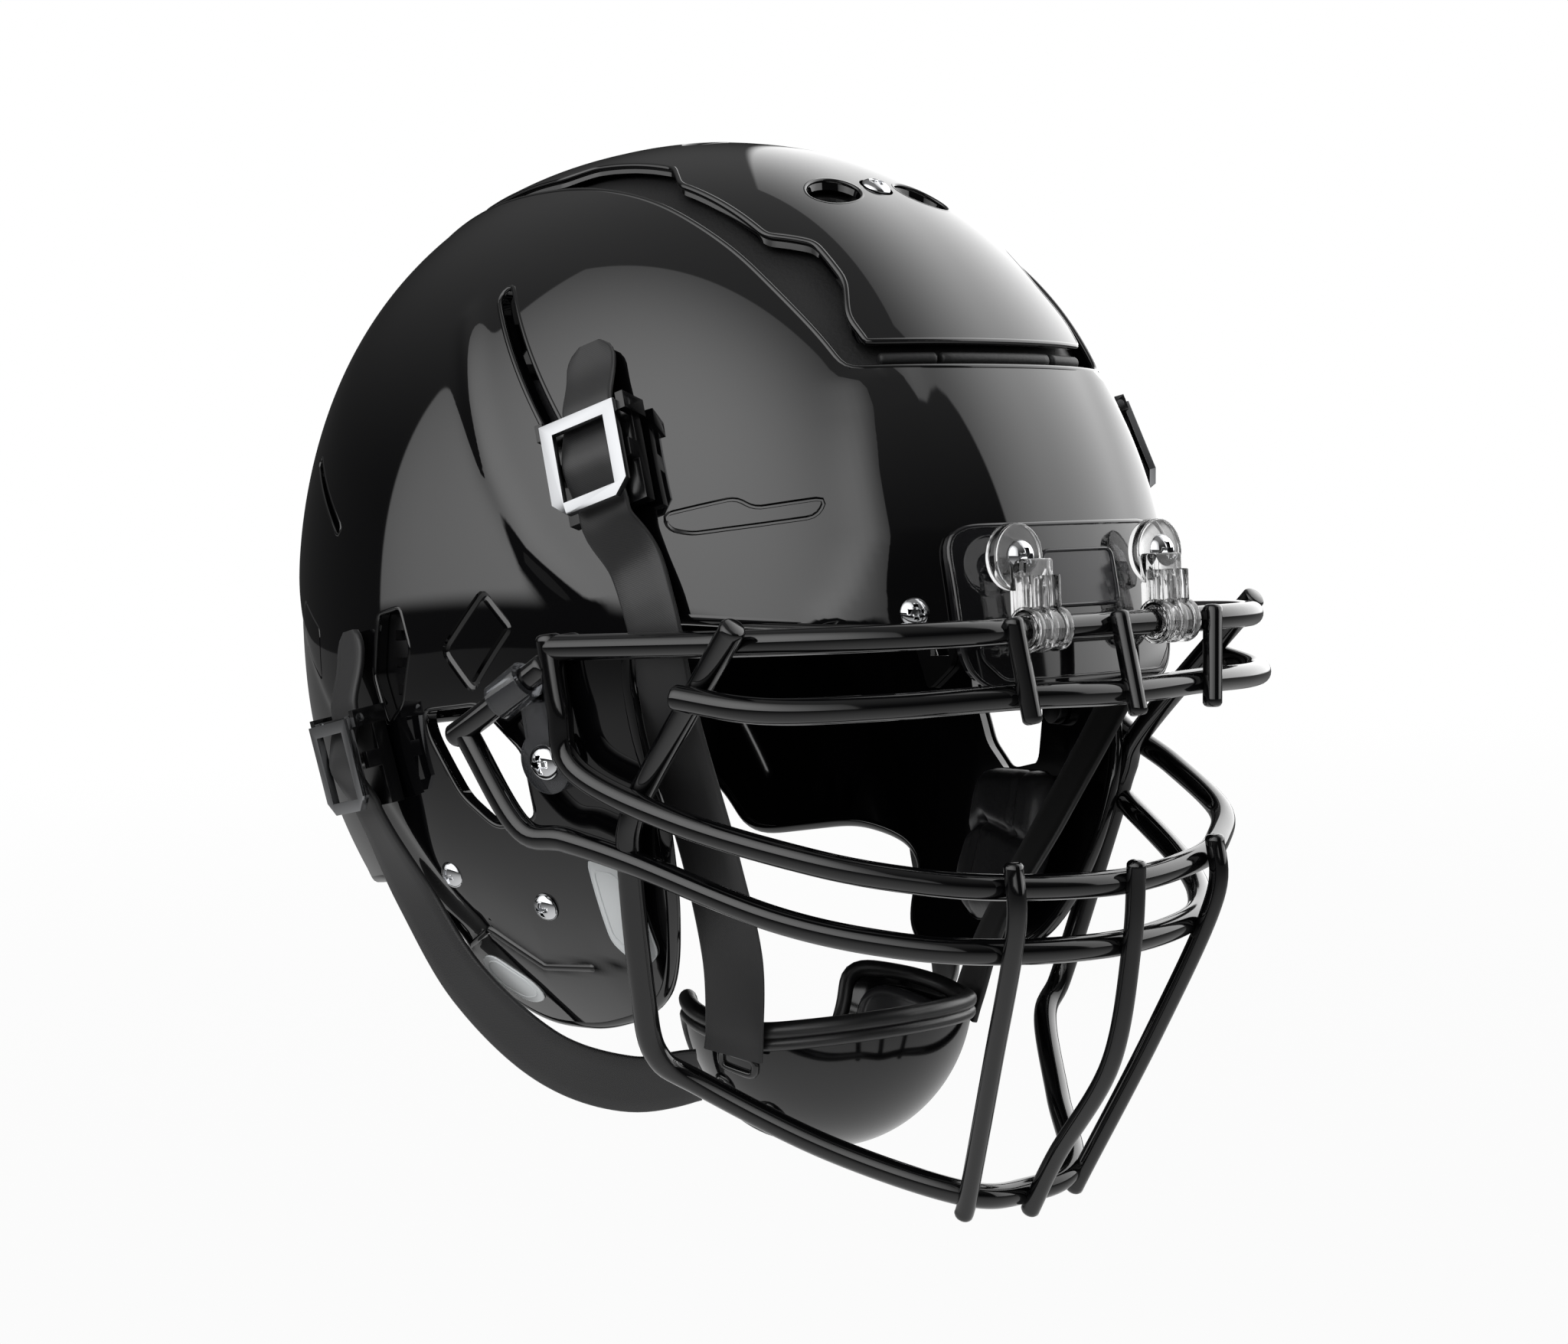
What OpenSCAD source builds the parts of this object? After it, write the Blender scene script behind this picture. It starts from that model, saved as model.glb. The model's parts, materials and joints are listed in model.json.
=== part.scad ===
// American football helmet with a hinged wire face guard, a floating crown plate,
// a chin cup on four straps and a full set of liner pads.
// Origin: centre of the head cavity. -Y is forward, +X is the wearer's left, +Z is up.

/* [Shell] */
// Half width of the shell at its widest
half_width = 116; // [114:0.5:118]
// Distance from the centre to the brow
front_reach = 147; // [146:0.5:148]
// Distance from the centre to the back
back_reach = 159; // [155:1:162]
// Height of the crown above the centre
crown_reach = 155.5; // [154:0.5:157]
// Wall thickness of the shell
wall = 4.2; // [3.5:0.1:4.4]

/* [Face guard] */
// Diameter of the main guard wires
wire_d = 7.1; // [6.8:0.1:7.2]
// Diameter of the thin upright wires
thin_wire_d = 5.4; // [5:0.1:5.6]

/* [Straps] */
// Width of a strap along its run
strap_w = 19; // [17:0.5:20]
// Width of a strap inside its buckle
strap_tail_w = 16; // [15:0.5:16]
// Thickness of the webbing
strap_t = 2; // [1.6:0.1:2.2]

/* [Chin cup] */
// Half width of the chin cup
cup_half_w = 46; // [44:1:47]
// Wall of the chin cup
cup_wall = 3; // [2.5:0.1:3.2]

/* [Hidden] */

// ---- shell surface -------------------------------------------------------------------
// The outer surface is a rounded egg: a power-law ellipsoid about egg_y, egg_z, leaning
// back with height, narrower towards the face and drawn in below the temples.
egg_y = 1.5;
egg_z = 6.5;
egg_lean = 0.09;
egg_taper = 0.07;
plan_power = 2.25;
side_power_up = 2.2;
side_power_down = 2;
neck_reach = 150;
jaw_draw_in = 0.03;

function soft_step(v) = 1 / (1 + exp(-v));
function mix(a, b, f) = a + (b - a) * f;
function unit(v) = v / norm(v);
function toward(th, ph) = [cos(ph) * sin(th), -cos(ph) * cos(th), sin(ph)];
function egg_radius(u) =
    let (f = soft_step(-4 * u[1]), up = soft_step(8 * u[2]))
    let (reach_y = mix(back_reach, front_reach, f), reach_z = mix(neck_reach, crown_reach, up))
    let (q = mix(side_power_down, side_power_up, up))
    let (plan = pow(abs(u[0]) / (half_width * (1 - egg_taper * f)), plan_power)
        + pow(abs(u[1]) / reach_y, plan_power))
    pow(pow(plan, q / plan_power) + pow(abs(u[2]) / reach_z, q), -1 / q);
function draw_in(y, z) = 1 - jaw_draw_in * soft_step(-(z + 8) / 7) * soft_step(-(y + 10) / 14);
function egg(th, ph, off = 0) =
    let (u = toward(th, ph), r = egg_radius(u) + off)
    let (z = egg_z + r * u[2], y = egg_y + r * u[1] + egg_lean * r * u[2])
    [r * u[0] * draw_in(y, z), y, z];
function egg_normal(th, ph) = unit(cross(egg(th + 1, ph) - egg(th - 1, ph), egg(th, ph + 1) - egg(th, ph - 1)));

// A closed solid of the egg, grown by off; st is the angle between its rings.
lowest_ph = -52;
module egg_solid(off, st) {
    cols = 360 / st;
    rows = floor((88 - lowest_ph) / st);
    rings = [for (i = [0:rows - 1]) for (k = [0:cols - 1]) egg(k * st, lowest_ph + i * st, off)];
    low = [for (k = [0:cols - 1]) egg(k * st, lowest_ph, off)[2]];
    sides = [for (i = [0:rows - 2]) for (k = [0:cols - 1])
        let (a = i * cols + k, b = i * cols + (k + 1) % cols)
        each [[a, a + cols, b + cols], [a, b + cols, b]]];
    last = (rows - 1) * cols;
    pole = rows * cols;
    caps = [for (k = [0:cols - 1]) let (n = (k + 1) % cols) each [[last + k, pole, last + n], [k, n, pole + 1]]];
    polyhedron(concat(rings, [egg(0, 90, off), [0, egg_y, min(low)]]), concat(sides, caps));
}

// The layer between two depths below the outer surface.
module egg_layer(outer, inner, st) {
    difference() {
        egg_solid(outer, st);
        egg_solid(inner, st);
    }
}

// Places children on the outer surface: local +Z points out, local +X points down.
module on_shell(th, ph) {
    n = egg_normal(th, ph);
    translate(egg(th, ph)) rotate([0, acos(n[2]), atan2(n[1], n[0])]) children();
}

module both_sides() {
    children();
    mirror([1, 0, 0]) children();
}

// Extrudes a side-view outline (y, z) along X from x0 to x1.
module side_prism(outline, x0, x1) {
    translate([x0, 0, 0]) rotate([90, 0, 90]) linear_extrude(x1 - x0) polygon(outline);
}

module plan_prism(outline, z0, z1) {
    translate([0, 0, z0]) linear_extrude(z1 - z0) polygon(outline);
}

// ---- swept wires and straps ----------------------------------------------------------
function spline(a, b, c, d, t) = 0.5 * (2 * b + (c - a) * t + (2 * a - 5 * b + 4 * c - d) * t * t
    + (3 * b - a - 3 * c + d) * t * t * t);
function smooth(p, n) =
    let (m = len(p), q = concat([2 * p[0] - p[1]], p, [2 * p[m - 1] - p[m - 2]]))
    concat([for (i = [1:m - 1]) for (k = [0:n - 1]) spline(q[i - 1], q[i], q[i + 1], q[i + 2], k / n)], [p[m - 1]]);
function tangent(p, i) = unit(p[min(i + 1, len(p) - 1)] - p[max(i - 1, 0)]);
function mirrored(p) = concat(p, [for (i = [len(p) - 2:-1:0]) [-p[i][0], p[i][1], p[i][2]]]);

// Joins rings of equal count into one closed skin.
module skin(rings) {
    n = len(rings[0]);
    m = len(rings);
    sides = [for (i = [0:m - 2]) for (k = [0:n - 1])
        let (a = i * n + k, b = i * n + (k + 1) % n)
        each [[a, a + n, b + n], [a, b + n, b]]];
    ends = [[for (k = [0:n - 1]) k], [for (k = [0:n - 1]) m * n - 1 - k]];
    polyhedron([for (r = rings) each r], concat(sides, ends));
}

// A round wire along points; side is any direction the wire never follows.
module wire(points, d, side, steps = 4, sides = 10) {
    p = smooth(points, steps);
    skin([for (i = [0:len(p) - 1])
        let (t = tangent(p, i), u = unit(cross(side, t)), v = cross(t, u))
        [for (k = [0:sides - 1]) p[i] + d / 2 * (cos(360 * k / sides) * u + sin(360 * k / sides) * v)]]);
}

// A flat strap along points; facing gives the outward direction at each point.
module strap(points, facing, widths) {
    steps = 3;
    p = smooth(points, steps);
    f = smooth(facing, steps);
    w = smooth(widths, steps);
    skin([for (i = [0:len(p) - 1])
        let (t = tangent(p, i), a = unit(cross(t, f[i])), n = cross(a, t))
        let (x = a * w[i] / 2, y = n * strap_t / 2)
        [p[i] + x + y, p[i] + x - y, p[i] - x - y, p[i] - x + y]]);
}

// ---- shell ---------------------------------------------------------------------------
// Side view of the shell's edge (y, z): brow, face opening, jaw flap, neck line, nape.
shell_edge = [[-175, 12], [-120, 15], [-80, 19], [-71, 16], [-69, 5], [-70, -18], [-73, -35],
    [-71, -50], [-68, -62], [-62, -76], [-54, -87], [-42, -94], [-22, -99], [0, -99], [14, -92],
    [19, -82], [19, -73], [28, -65], [40, -61], [56, -58], [92, -62], [106, -46], [124, -31],
    [145, -18], [180, -12], [180, 175], [-175, 175]];
ear_hole = [[9, -6], [-16, -4], [-31, -18], [-31, -37], [-14, -40], [-2, -31], [8, -13]];
rear_vent = [[30, 22], [18, 24], [13, 12], [18, -4], [27, -11], [33, 4]];
// Half plan of the crown plate (x, y), front to back, with its stepped side.
plate_half = [[0, -130], [30, -128], [39, -118], [42, -104], [37, -98], [37, -86], [46, -76],
    [47, -40], [41, -30], [41, 8], [46, 18], [44, 62], [37, 70], [33, 98], [24, 106], [0, 108]];
plate_plan = concat(plate_half, [for (i = [len(plate_half) - 2:-1:1]) [-plate_half[i][0], plate_half[i][1]]]);
recess_half = [[0, -140], [38, -136], [47, -118], [54, -90], [56, -60], [56, -20], [54, 30],
    [50, 80], [42, 106], [30, 116], [0, 119]];
recess_plan = concat(recess_half, [for (i = [len(recess_half) - 2:-1:1]) [-recess_half[i][0], recess_half[i][1]]]);
recess_depth = 6.2;
recess_floor_z = 83;
plate_wall = 3;
plate_proud = 0.2;
gasket_t = 1;
front_vent = [17, -72];
rear_vent_xy = [15, -12];
plate_screws = [[0, 57.4], [180, 88], [180, 62]];
vent_r = 5.5;

module slot_cut(a, b, w) {
    hull() {
        for (p = [a, b]) translate([0, p[0], p[1]]) rotate([0, 90, 0]) cylinder(d = w, h = 60, $fn = 24);
    }
}

module crown_vents(r, z0) {
    for (s = [-1, 1]) {
        translate([s * front_vent[0], front_vent[1], z0]) cylinder(r = r, h = 90, $fn = 32);
        translate([s * rear_vent_xy[0], rear_vent_xy[1], z0]) cylinder(r = r, h = 90, $fn = 32);
    }
}

module plate_screw_holes(r) {
    for (p = plate_screws) on_shell(p[0], p[1]) cylinder(r = r, h = 30, center = true, $fn = 32);
}

module shell() {
    st = 7.5;
    inner_recess = recess_depth + wall;
    color("#0c0c0d") intersection() {
        difference() {
            union() {
                difference() {
                    egg_solid(0, st);
                    plan_prism(recess_plan, recess_floor_z, 200);
                }
                egg_solid(-recess_depth, st);
            }
            difference() {
                egg_solid(-wall, st);
                translate([0, -11, 0]) scale([1.1, 1.06, 1]) plan_prism(recess_plan, recess_floor_z - 8, 200);
            }
            egg_solid(-inner_recess, st);
            both_sides() side_prism(ear_hole, 60, 140);
            both_sides() side_prism(rear_vent, 60, 140);
            both_sides() translate([70, 0, 0]) slot_cut([-5, 112], [-42, 71], 5.5);
            both_sides() translate([70, 0, 0]) slot_cut([85, 69], [58, 48], 4);
            crown_vents(vent_r + 1, 80);
        }
        side_prism(shell_edge, -150, 150);
    }
}

module crown_gasket() {
    color("#1a1a1b") difference() {
        intersection() {
            egg_layer(-recess_depth + gasket_t, -recess_depth + 0.1, 7.5);
            scale([1.04, 1.02, 1]) plan_prism(plate_plan, 84, 200);
        }
        crown_vents(vent_r + 1, 80);
        plate_screw_holes(4.5);
    }
}

module crown_plate() {
    color("#0c0c0d") difference() {
        intersection() {
            egg_layer(plate_proud, plate_proud - plate_wall, 7.5);
            plan_prism(plate_plan, 87, 200);
        }
        crown_vents(vent_r, 80);
        plate_screw_holes(3.8);
    }
}

// Round-headed screw standing along +Z with its head's underside at z = 0.
module screw(head_r, head_h, shank_r, shank_l) {
    rotate_extrude($fn = 32) polygon([[0, -shank_l], [shank_r, -shank_l], [shank_r, 0], [head_r, 0],
        [head_r, head_h * 0.4], [head_r * 0.7, head_h * 0.85], [0, head_h]]);
}

module crown_plate_screws() {
    color("silver") for (p = plate_screws) on_shell(p[0], p[1]) translate([0, 0, 0.7]) screw(4.6, 1.8, 2.3, 8);
}

// ---- brow ----------------------------------------------------------------------------
bar_y = -156;
bar_z = 11.3;
bar_straight = 36;
clip_x = 25;
clip_w = 13;
screw_x = 27.4;
screw_z = 30.6;
bumper_t = 3.2;
bumper_half = [[0, -5], [33, -5], [40, 3], [40, 22], [32, 36], [24, 39], [0, 39]];

module brow_bumper() {
    outline = concat(bumper_half, [for (i = [len(bumper_half) - 2:-1:1]) [-bumper_half[i][0], bumper_half[i][1]]]);
    color("#26262a") intersection() {
        egg_layer(0.2 + bumper_t, 0.2, 6);
        translate([0, -100, 0]) rotate([90, 0, 0]) linear_extrude(70) polygon(outline);
    }
}

module nameplate() {
    color("#3a3a3c") intersection() {
        egg_layer(1.2 + bumper_t, 0.3 + bumper_t, 6);
        translate([-13.5, -170, 17]) cube([27, 60, 15]);
    }
}

// Clear clip: a plate on the bumper with a screw hole, and a sleeve round the top bar.
module top_clip_left() {
    front = -151.2;
    color([0.85, 0.87, 0.9, 0.5]) difference() {
        union() {
            translate([screw_x, front + 2.6, screw_z]) rotate([90, 0, 0]) cylinder(r = 9, h = 3, $fn = 48);
            translate([clip_x - clip_w / 2, front - 0.4, bar_z + 4]) cube([clip_w, 3, screw_z - bar_z - 4]);
            translate([clip_x - clip_w / 2, bar_y, bar_z]) rotate([0, 90, 0]) cylinder(r = wire_d / 2 + 2.4, h = clip_w, $fn = 48);
        }
        translate([clip_x - clip_w, bar_y, bar_z]) rotate([0, 90, 0]) cylinder(d = wire_d + 0.7, h = 2 * clip_w, $fn = 48);
        translate([screw_x, front + 5, screw_z]) rotate([90, 0, 0]) cylinder(r = 2.6, h = 20, $fn = 32);
    }
}

module top_clip_right() {
    mirror([1, 0, 0]) top_clip_left();
}

module top_clip_screws() {
    color("silver") both_sides()
        translate([screw_x, -151.6, screw_z]) rotate([90, 0, 0]) screw(4.6, 2.6, 2.4, 9);
}

module brow_screws() {
    color("silver") both_sides() on_shell(19.9, 4.2) translate([0, 0, 0.2]) screw(4, 2.2, 2, 2);
}

module jaw_screws() {
    color("silver") both_sides() {
        on_shell(98.8, -30.5) translate([0, 0, 0.2]) screw(4.2, 2.2, 2, 2);
        on_shell(78.4, -34.8) translate([0, 0, 0.2]) screw(4.2, 2.2, 2, 2);
    }
}

module jaw_badges() {
    color("#b9bbbf") both_sides() intersection() {
        egg_layer(1, 0.2, 6);
        side_prism([[-47, -48], [-55, -49], [-61, -57], [-60, -75], [-53, -80], [-46, -72]], 50, 120);
    }
}

module model_badges() {
    color("#b9bbbf") both_sides() intersection() {
        egg_layer(1, 0.2, 6);
        side_prism([[16, -82], [9, -79], [-5, -87], [-7, -92], [2, -94], [13, -89]], 50, 120);
    }
}

// ---- ear and nape fittings -----------------------------------------------------------
side_clip_seat = [68.5, -13.1];

module side_clip_nuts() {
    color("#3a3a3c") both_sides()
        on_shell(side_clip_seat[0], side_clip_seat[1]) translate([0, 0, -wall - 3.6]) cylinder(r = 5, h = 3.2, $fn = 32);
}

module rear_vent_inserts() {
    color("#151516") both_sides() difference() {
        intersection() {
            egg_layer(-wall - 0.3, -wall - 2.3, 6);
            side_prism([for (p = rear_vent) [(p[0] - 23) * 1.25 + 23, (p[1] - 7) * 1.15 + 7]], 60, 130);
        }
        for (z = [-2, 6, 14]) translate([60, 18, z]) cube([60, 9, 3]);
    }
}

module nape_bumper() {
    color("#151516") intersection() {
        egg_layer(2.4, 0.2, 6);
        translate([-34, 90, -8]) cube([68, 90, 16]);
    }
}

module nape_bumper_screws() {
    color("silver") both_sides() on_shell(170, -2.5) translate([0, 0, 2.6]) screw(3.6, 1.8, 1.8, 4);
}

module air_valves() {
    color("#151516") {
        on_shell(180, 38) translate([0, 0, 0.2]) difference() {
            cylinder(r = 4, h = 1.4, $fn = 32);
            translate([0, 0, -1]) cylinder(r = 1.1, h = 4, $fn = 24);
        }
        on_shell(180, 12) translate([0, 0, 0.2]) difference() {
            cylinder(r = 4, h = 1.4, $fn = 32);
            translate([0, 0, -1]) cylinder(r = 1.1, h = 4, $fn = 24);
        }
    }
}

// ---- face guard ----------------------------------------------------------------------
// Half paths of the wires (wearer's left), from the rear end to the middle.
corner = [108.5, -50, 15];
top_bar_arc = 63;
top_bar_turn = 79;
brow_bar_path = [[106, -101, -2], [96, -126, -6], [70, -144.5, -6.5], [35, -156, -6], [0, -161, -6.7]];
upper_mouth_path = [corner, [108, -53, -5], [106.5, -57, -22], [98, -89, -35.5], [80, -123, -46.5],
    [60, -140, -52.5], [38, -151, -56], [0, -158, -58]];
lower_mouth_path = [[116.5, -19, -11], [111, -36, -38], [106, -51, -41.5], [97, -70, -48], [80, -107, -62.5],
    [60, -132, -70], [36, -148, -73.5], [0, -155, -75]];
chin_path = [[101.5, -122, 16], [97.5, -78.5, -24], [98, -69.5, -37], [95.8, -65.5, -50], [87, -57, -85], [80.5, -53.5, -104],
    [69, -58, -113.5], [46, -85, -132], [22, -113, -145], [0, -115.5, -148]];
stub_path = [[109.5, -50, 7], [115.5, -29, -6], [117.5, -15, -13]];

// A planar bend of round bar that starts at the origin along +X and turns towards +Y.
module bend(r, turn, d) {
    translate([0, r, 0]) rotate([0, 0, -90]) rotate_extrude(angle = turn, $fn = 96) translate([r, 0]) circle(d = d, $fn = 32);
}

module guard_top_bar() {
    end = [bar_straight + top_bar_arc * sin(top_bar_turn), bar_y + top_bar_arc * (1 - cos(top_bar_turn))];
    run = norm([corner[0], corner[1]] - end);
    color("#0c0c0d") {
        translate([-bar_straight, bar_y, bar_z]) rotate([0, 90, 0]) cylinder(d = wire_d, h = 2 * bar_straight, $fn = 48);
        both_sides() {
            translate([bar_straight, bar_y, bar_z]) bend(top_bar_arc, top_bar_turn, wire_d);
            translate([end[0], end[1], bar_z]) rotate([0, 90, top_bar_turn]) cylinder(d = wire_d, h = run, $fn = 48);
        }
    }
}

module guard_brow_bar() {
    color("#0c0c0d") wire(mirrored(brow_bar_path), wire_d, [0, 0, 1]);
}

module guard_upper_mouth_bar() {
    color("#0c0c0d") wire(mirrored(upper_mouth_path), wire_d, [0, -1, 1]);
}

module guard_lower_mouth_bar() {
    color("#0c0c0d") wire(mirrored(lower_mouth_path), wire_d, [0, -1, 1]);
}

module guard_chin_wire() {
    color("#0c0c0d") wire(mirrored(chin_path), wire_d, [0, 1, 1]);
}

module guard_brow_struts() {
    color("#0c0c0d") {
        wire([[0, -160.5, 15], [0, -166.3, -13]], thin_wire_d, [1, 0, 0], 1);
        both_sides() wire([[39, -159.5, 15], [35, -161.5, -13]], thin_wire_d, [0, 1, 0], 1);
    }
}

module guard_front_wires() {
    color("#0c0c0d") {
        wire([[0, -163.5, -52], [0, -160.5, -75], [0, -151, -108], [0, -129, -136], [0, -117, -154]], thin_wire_d, [1, 0, 0], 3);
        both_sides() wire([[39.5, -156.5, -49], [39, -156, -67], [32, -138, -105], [23, -117, -145], [22, -113, -152]],
            thin_wire_d, [1, 0, 0], 2);
    }
}

module guard_side_stubs() {
    color("#0c0c0d") both_sides() wire(stub_path, wire_d, [0, 0, 1], 2);
}

// Side clip: lobe over the jaw flap, with a sleeve round the side stub.
module along_stub() {
    run = stub_path[1] - stub_path[0];
    translate(stub_path[0] + 0.55 * run)
        rotate([0, acos(run[2] / norm(run)), atan2(run[1], run[0])]) children();
}

module side_clip_left() {
    color([0.6, 0.62, 0.65, 0.5]) difference() {
        union() {
            on_shell(side_clip_seat[0], side_clip_seat[1]) translate([0, 0, 1]) {
                cylinder(r = 9, h = 3, $fn = 48);
                translate([-17, -5, 0]) cube([17, 11, 3]);
            }
            along_stub() translate([0, 0, -6]) cylinder(r = wire_d / 2 + 2, h = 12, $fn = 48);
        }
        along_stub() cylinder(d = wire_d + 0.1, h = 40, center = true, $fn = 48);
    }
}

module side_clip_right() {
    mirror([1, 0, 0]) side_clip_left();
}

module side_clip_screws() {
    color("silver") both_sides()
        on_shell(side_clip_seat[0], side_clip_seat[1]) translate([0, 0, 4.1]) screw(5.4, 2.6, 2.4, 2);
}

// ---- buckles and straps --------------------------------------------------------------
// Each buckle stands on the shell at (azimuth, elevation), rolled about its own normal.
upper_seat = [53.6, 24.2, -17];
lower_seat = [108.5, -12.9, -8];
frame_h = 12;
lever_pin = [-12.5, 0, 10.2];

module at_seat(seat) {
    on_shell(seat[0], seat[1]) rotate([0, 0, seat[2]]) children();
}

module on_all_seats() {
    both_sides() for (seat = [upper_seat, lower_seat]) at_seat(seat) children();
}

module snap_studs() {
    color("silver") on_all_seats() rotate_extrude($fn = 32) polygon([[0, -3], [2, -3], [2, 0.3], [6.5, 0.3], [6.5, 1.2],
        [4.2, 1.2], [3.6, 2.2], [4.4, 3.6], [3.4, 4.6], [0, 4.6]]);
}

module buckle_base() {
    color("#101011") {
        difference() {
            translate([-15, -12.5, 1.6]) cube([29, 25, 4.2]);
            translate([0, 0, -1]) cylinder(r = 5, h = 6.2, $fn = 48);
        }
        for (s = [-1, 1]) difference() {
            translate([-15, s * 13.2 - 1.2, 1.6]) cube([5, 2.4, 10.6]);
            translate([lever_pin[0], s * 13.2 - 3, lever_pin[2]]) rotate([-90, 0, 0]) cylinder(r = 1.25, h = 6, $fn = 32);
        }
        for (s = [-1, 1]) translate([-2.5, s * 11.1 - 1.4, 5.8]) cube([5, 2.8, 4.2]);
        translate([0, -11, 8]) rotate([-90, 0, 0]) cylinder(r = 1.8, h = 22, $fn = 32);
    }
}

module buckle_frame() {
    color("silver") {
        difference() {
            translate([-13, 0, frame_h]) linear_extrude(2.2) polygon([[0, -12], [23, -12], [27, -8], [27, 8], [23, 12], [0, 12]]);
            translate([-9.5, -8.3, frame_h - 1]) cube([20, 16.6, 5]);
        }
        for (s = [-1, 1]) translate([-13.7, s * 10 - 1.4, 9]) cube([2.4, 2.8, 3.2]);
        translate([lever_pin[0], -14.3, lever_pin[2]]) rotate([-90, 0, 0]) cylinder(r = 1.2, h = 28.6, $fn = 32);
    }
}

module buckle_base_upper_left() { at_seat(upper_seat) buckle_base(); }
module buckle_base_upper_right() { mirror([1, 0, 0]) buckle_base_upper_left(); }
module buckle_base_lower_left() { at_seat(lower_seat) buckle_base(); }
module buckle_base_lower_right() { mirror([1, 0, 0]) buckle_base_lower_left(); }
module buckle_frame_upper_left() { at_seat(upper_seat) buckle_frame(); }
module buckle_frame_upper_right() { mirror([1, 0, 0]) buckle_frame_upper_left(); }
module buckle_frame_lower_left() { at_seat(lower_seat) buckle_frame(); }
module buckle_frame_lower_right() { mirror([1, 0, 0]) buckle_frame_lower_left(); }

// World position of a point given along the strap (a), across it (b) and off the shell (h).
function seat_dir(seat, a, b) =
    let (n = egg_normal(seat[0], seat[1]), side = unit(cross([0, 0, 1], n)), down = cross(side, n))
    down * (a * cos(seat[2]) - b * sin(seat[2])) + side * (a * sin(seat[2]) + b * cos(seat[2]));
function seat_point(seat, a, h) = egg(seat[0], seat[1]) + seat_dir(seat, a, 0) + h * egg_normal(seat[0], seat[1]);

// Along-strap distance and height of the webbing through a buckle.
buckle_run = [[-38, -1], [-28, 1.8], [-18, 6.7], [-12.5, 7.5], [-6.5, 10], [0, 12], [6.5, 10.2], [12, 7.9], [18, 6.6]];

module strap_upper_left() {
    n = egg_normal(upper_seat[0], upper_seat[1]);
    points = concat([for (q = buckle_run) seat_point(upper_seat, q[0], q[1])],
        [[96.9, -75.2, 34], [97, -81, 21], [95.4, -82.5, 9], [87, -77, -14], [68, -66, -50], [53, -55, -80],
        [47, -47.5, -103]]);
    facing = concat([for (q = buckle_run) n],
        [[0.91, -0.4, 0.1], [0.94, -0.34, 0.1], [0.95, -0.3, 0.1], [0.9, -0.35, 0.3], [0.85, -0.4, 0.4],
        [0.85, -0.5, 0.3], [0.9, -0.4, 0.1]]);
    widths = concat([for (q = buckle_run) strap_tail_w], [16.5, 16.5, 17], [for (i = [1:4]) strap_w]);
    color("#1c1c1d") strap(points, facing, widths);
}

module strap_lower_left() {
    n = egg_normal(lower_seat[0], lower_seat[1]);
    points = concat([for (q = buckle_run) seat_point(lower_seat, q[0], q[1])],
        [[104, 30, -62], [96, 16, -88], [81, -1, -110], [62, -15, -119.5], [45, -27, -118]]);
    facing = concat([for (q = buckle_run) n],
        [[0.95, -0.1, -0.3], [0.9, -0.25, -0.3], [0.77, -0.51, -0.38], [0.6, -0.72, -0.36], [0.9, -0.1, -0.4]]);
    widths = concat([for (q = buckle_run) strap_tail_w], [for (i = [1:5]) strap_w]);
    color("#1c1c1d") strap(points, facing, widths);
}

module strap_upper_right() { mirror([1, 0, 0]) strap_upper_left(); }
module strap_lower_right() { mirror([1, 0, 0]) strap_lower_left(); }

// ---- chin cup ------------------------------------------------------------------------
cup_centre = [0, -35, -98];
cup_reach = 41;
cup_depth = 47;

module cup_bowl(grow) {
    translate(cup_centre) scale([(cup_half_w + grow) / 100, (cup_reach + grow) / 100, (cup_depth + grow) / 100]) sphere(r = 100, $fn = 48);
}

module cup_region(top, back) {
    side_prism([[-90, top - 1], [-50, top - 5], [back, top + 2], [back, -120], [back - 18, -150], [-90, -150]], -60, 60);
}

module chin_cup() {
    color("#0c0c0d") intersection() {
        difference() {
            cup_bowl(0);
            cup_bowl(-cup_wall);
            both_sides() translate([20, -50, -127]) rotate([20, 25, 0]) cylinder(r = 3.4, h = 40, center = true, $fn = 32);
        }
        cup_region(-101, -10);
    }
}

module chin_cup_rim() {
    color("#1a1a1b") intersection() {
        difference() {
            cup_bowl(1.2);
            cup_bowl(-cup_wall - 1);
        }
        difference() {
            cup_region(-97, -10);
            cup_region(-100.7, -4);
        }
    }
}

module chin_cup_pad() {
    color("#2a2a2b") intersection() {
        difference() {
            cup_bowl(-cup_wall - 0.4);
            cup_bowl(-cup_wall - 6);
        }
        cup_region(-106, -16);
    }
}

// ---- liner pads ----------------------------------------------------------------------
pad_step = 9;
pad_out = -5.4;
pad_in = -25;

module pad_block(low, high, outer = pad_out, inner = pad_in) {
    color("#2a2a2b") intersection() {
        egg_layer(outer, inner, pad_step);
        translate(low) cube(high - low);
    }
}

module front_pad() { pad_block([-58, -160, 18], [58, -60, 72]); }
module crown_pad() {
    color("#2a2a2b") intersection() {
        egg_layer(-11.6, -26, pad_step);
        plan_prism([[-40, -58], [40, -58], [44, 0], [40, 58], [-40, 58], [-44, 0]], 60, 190);
    }
}
module side_pad_left() { pad_block([52, -52, 22], [130, 52, 96], -7); }
module side_pad_right() { mirror([1, 0, 0]) side_pad_left(); }
module back_pad() { pad_block([-60, 66, 22], [60, 180, 98], -6.4); }
module nape_pad() { pad_block([-66, 62, -14], [66, 180, 18]); }
jaw_pad_side = [[-52, -36], [-15, -36], [-12, -44], [-12, -78], [-24, -88], [-44, -86], [-54, -70], [-55, -44]];
module jaw_pad_left() {
    color("#2a2a2b") intersection() {
        egg_layer(pad_out - 1.5, -20, pad_step);
        side_prism(jaw_pad_side, 50, 110);
    }
}
module jaw_pad_right() { mirror([1, 0, 0]) jaw_pad_left(); }

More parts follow.
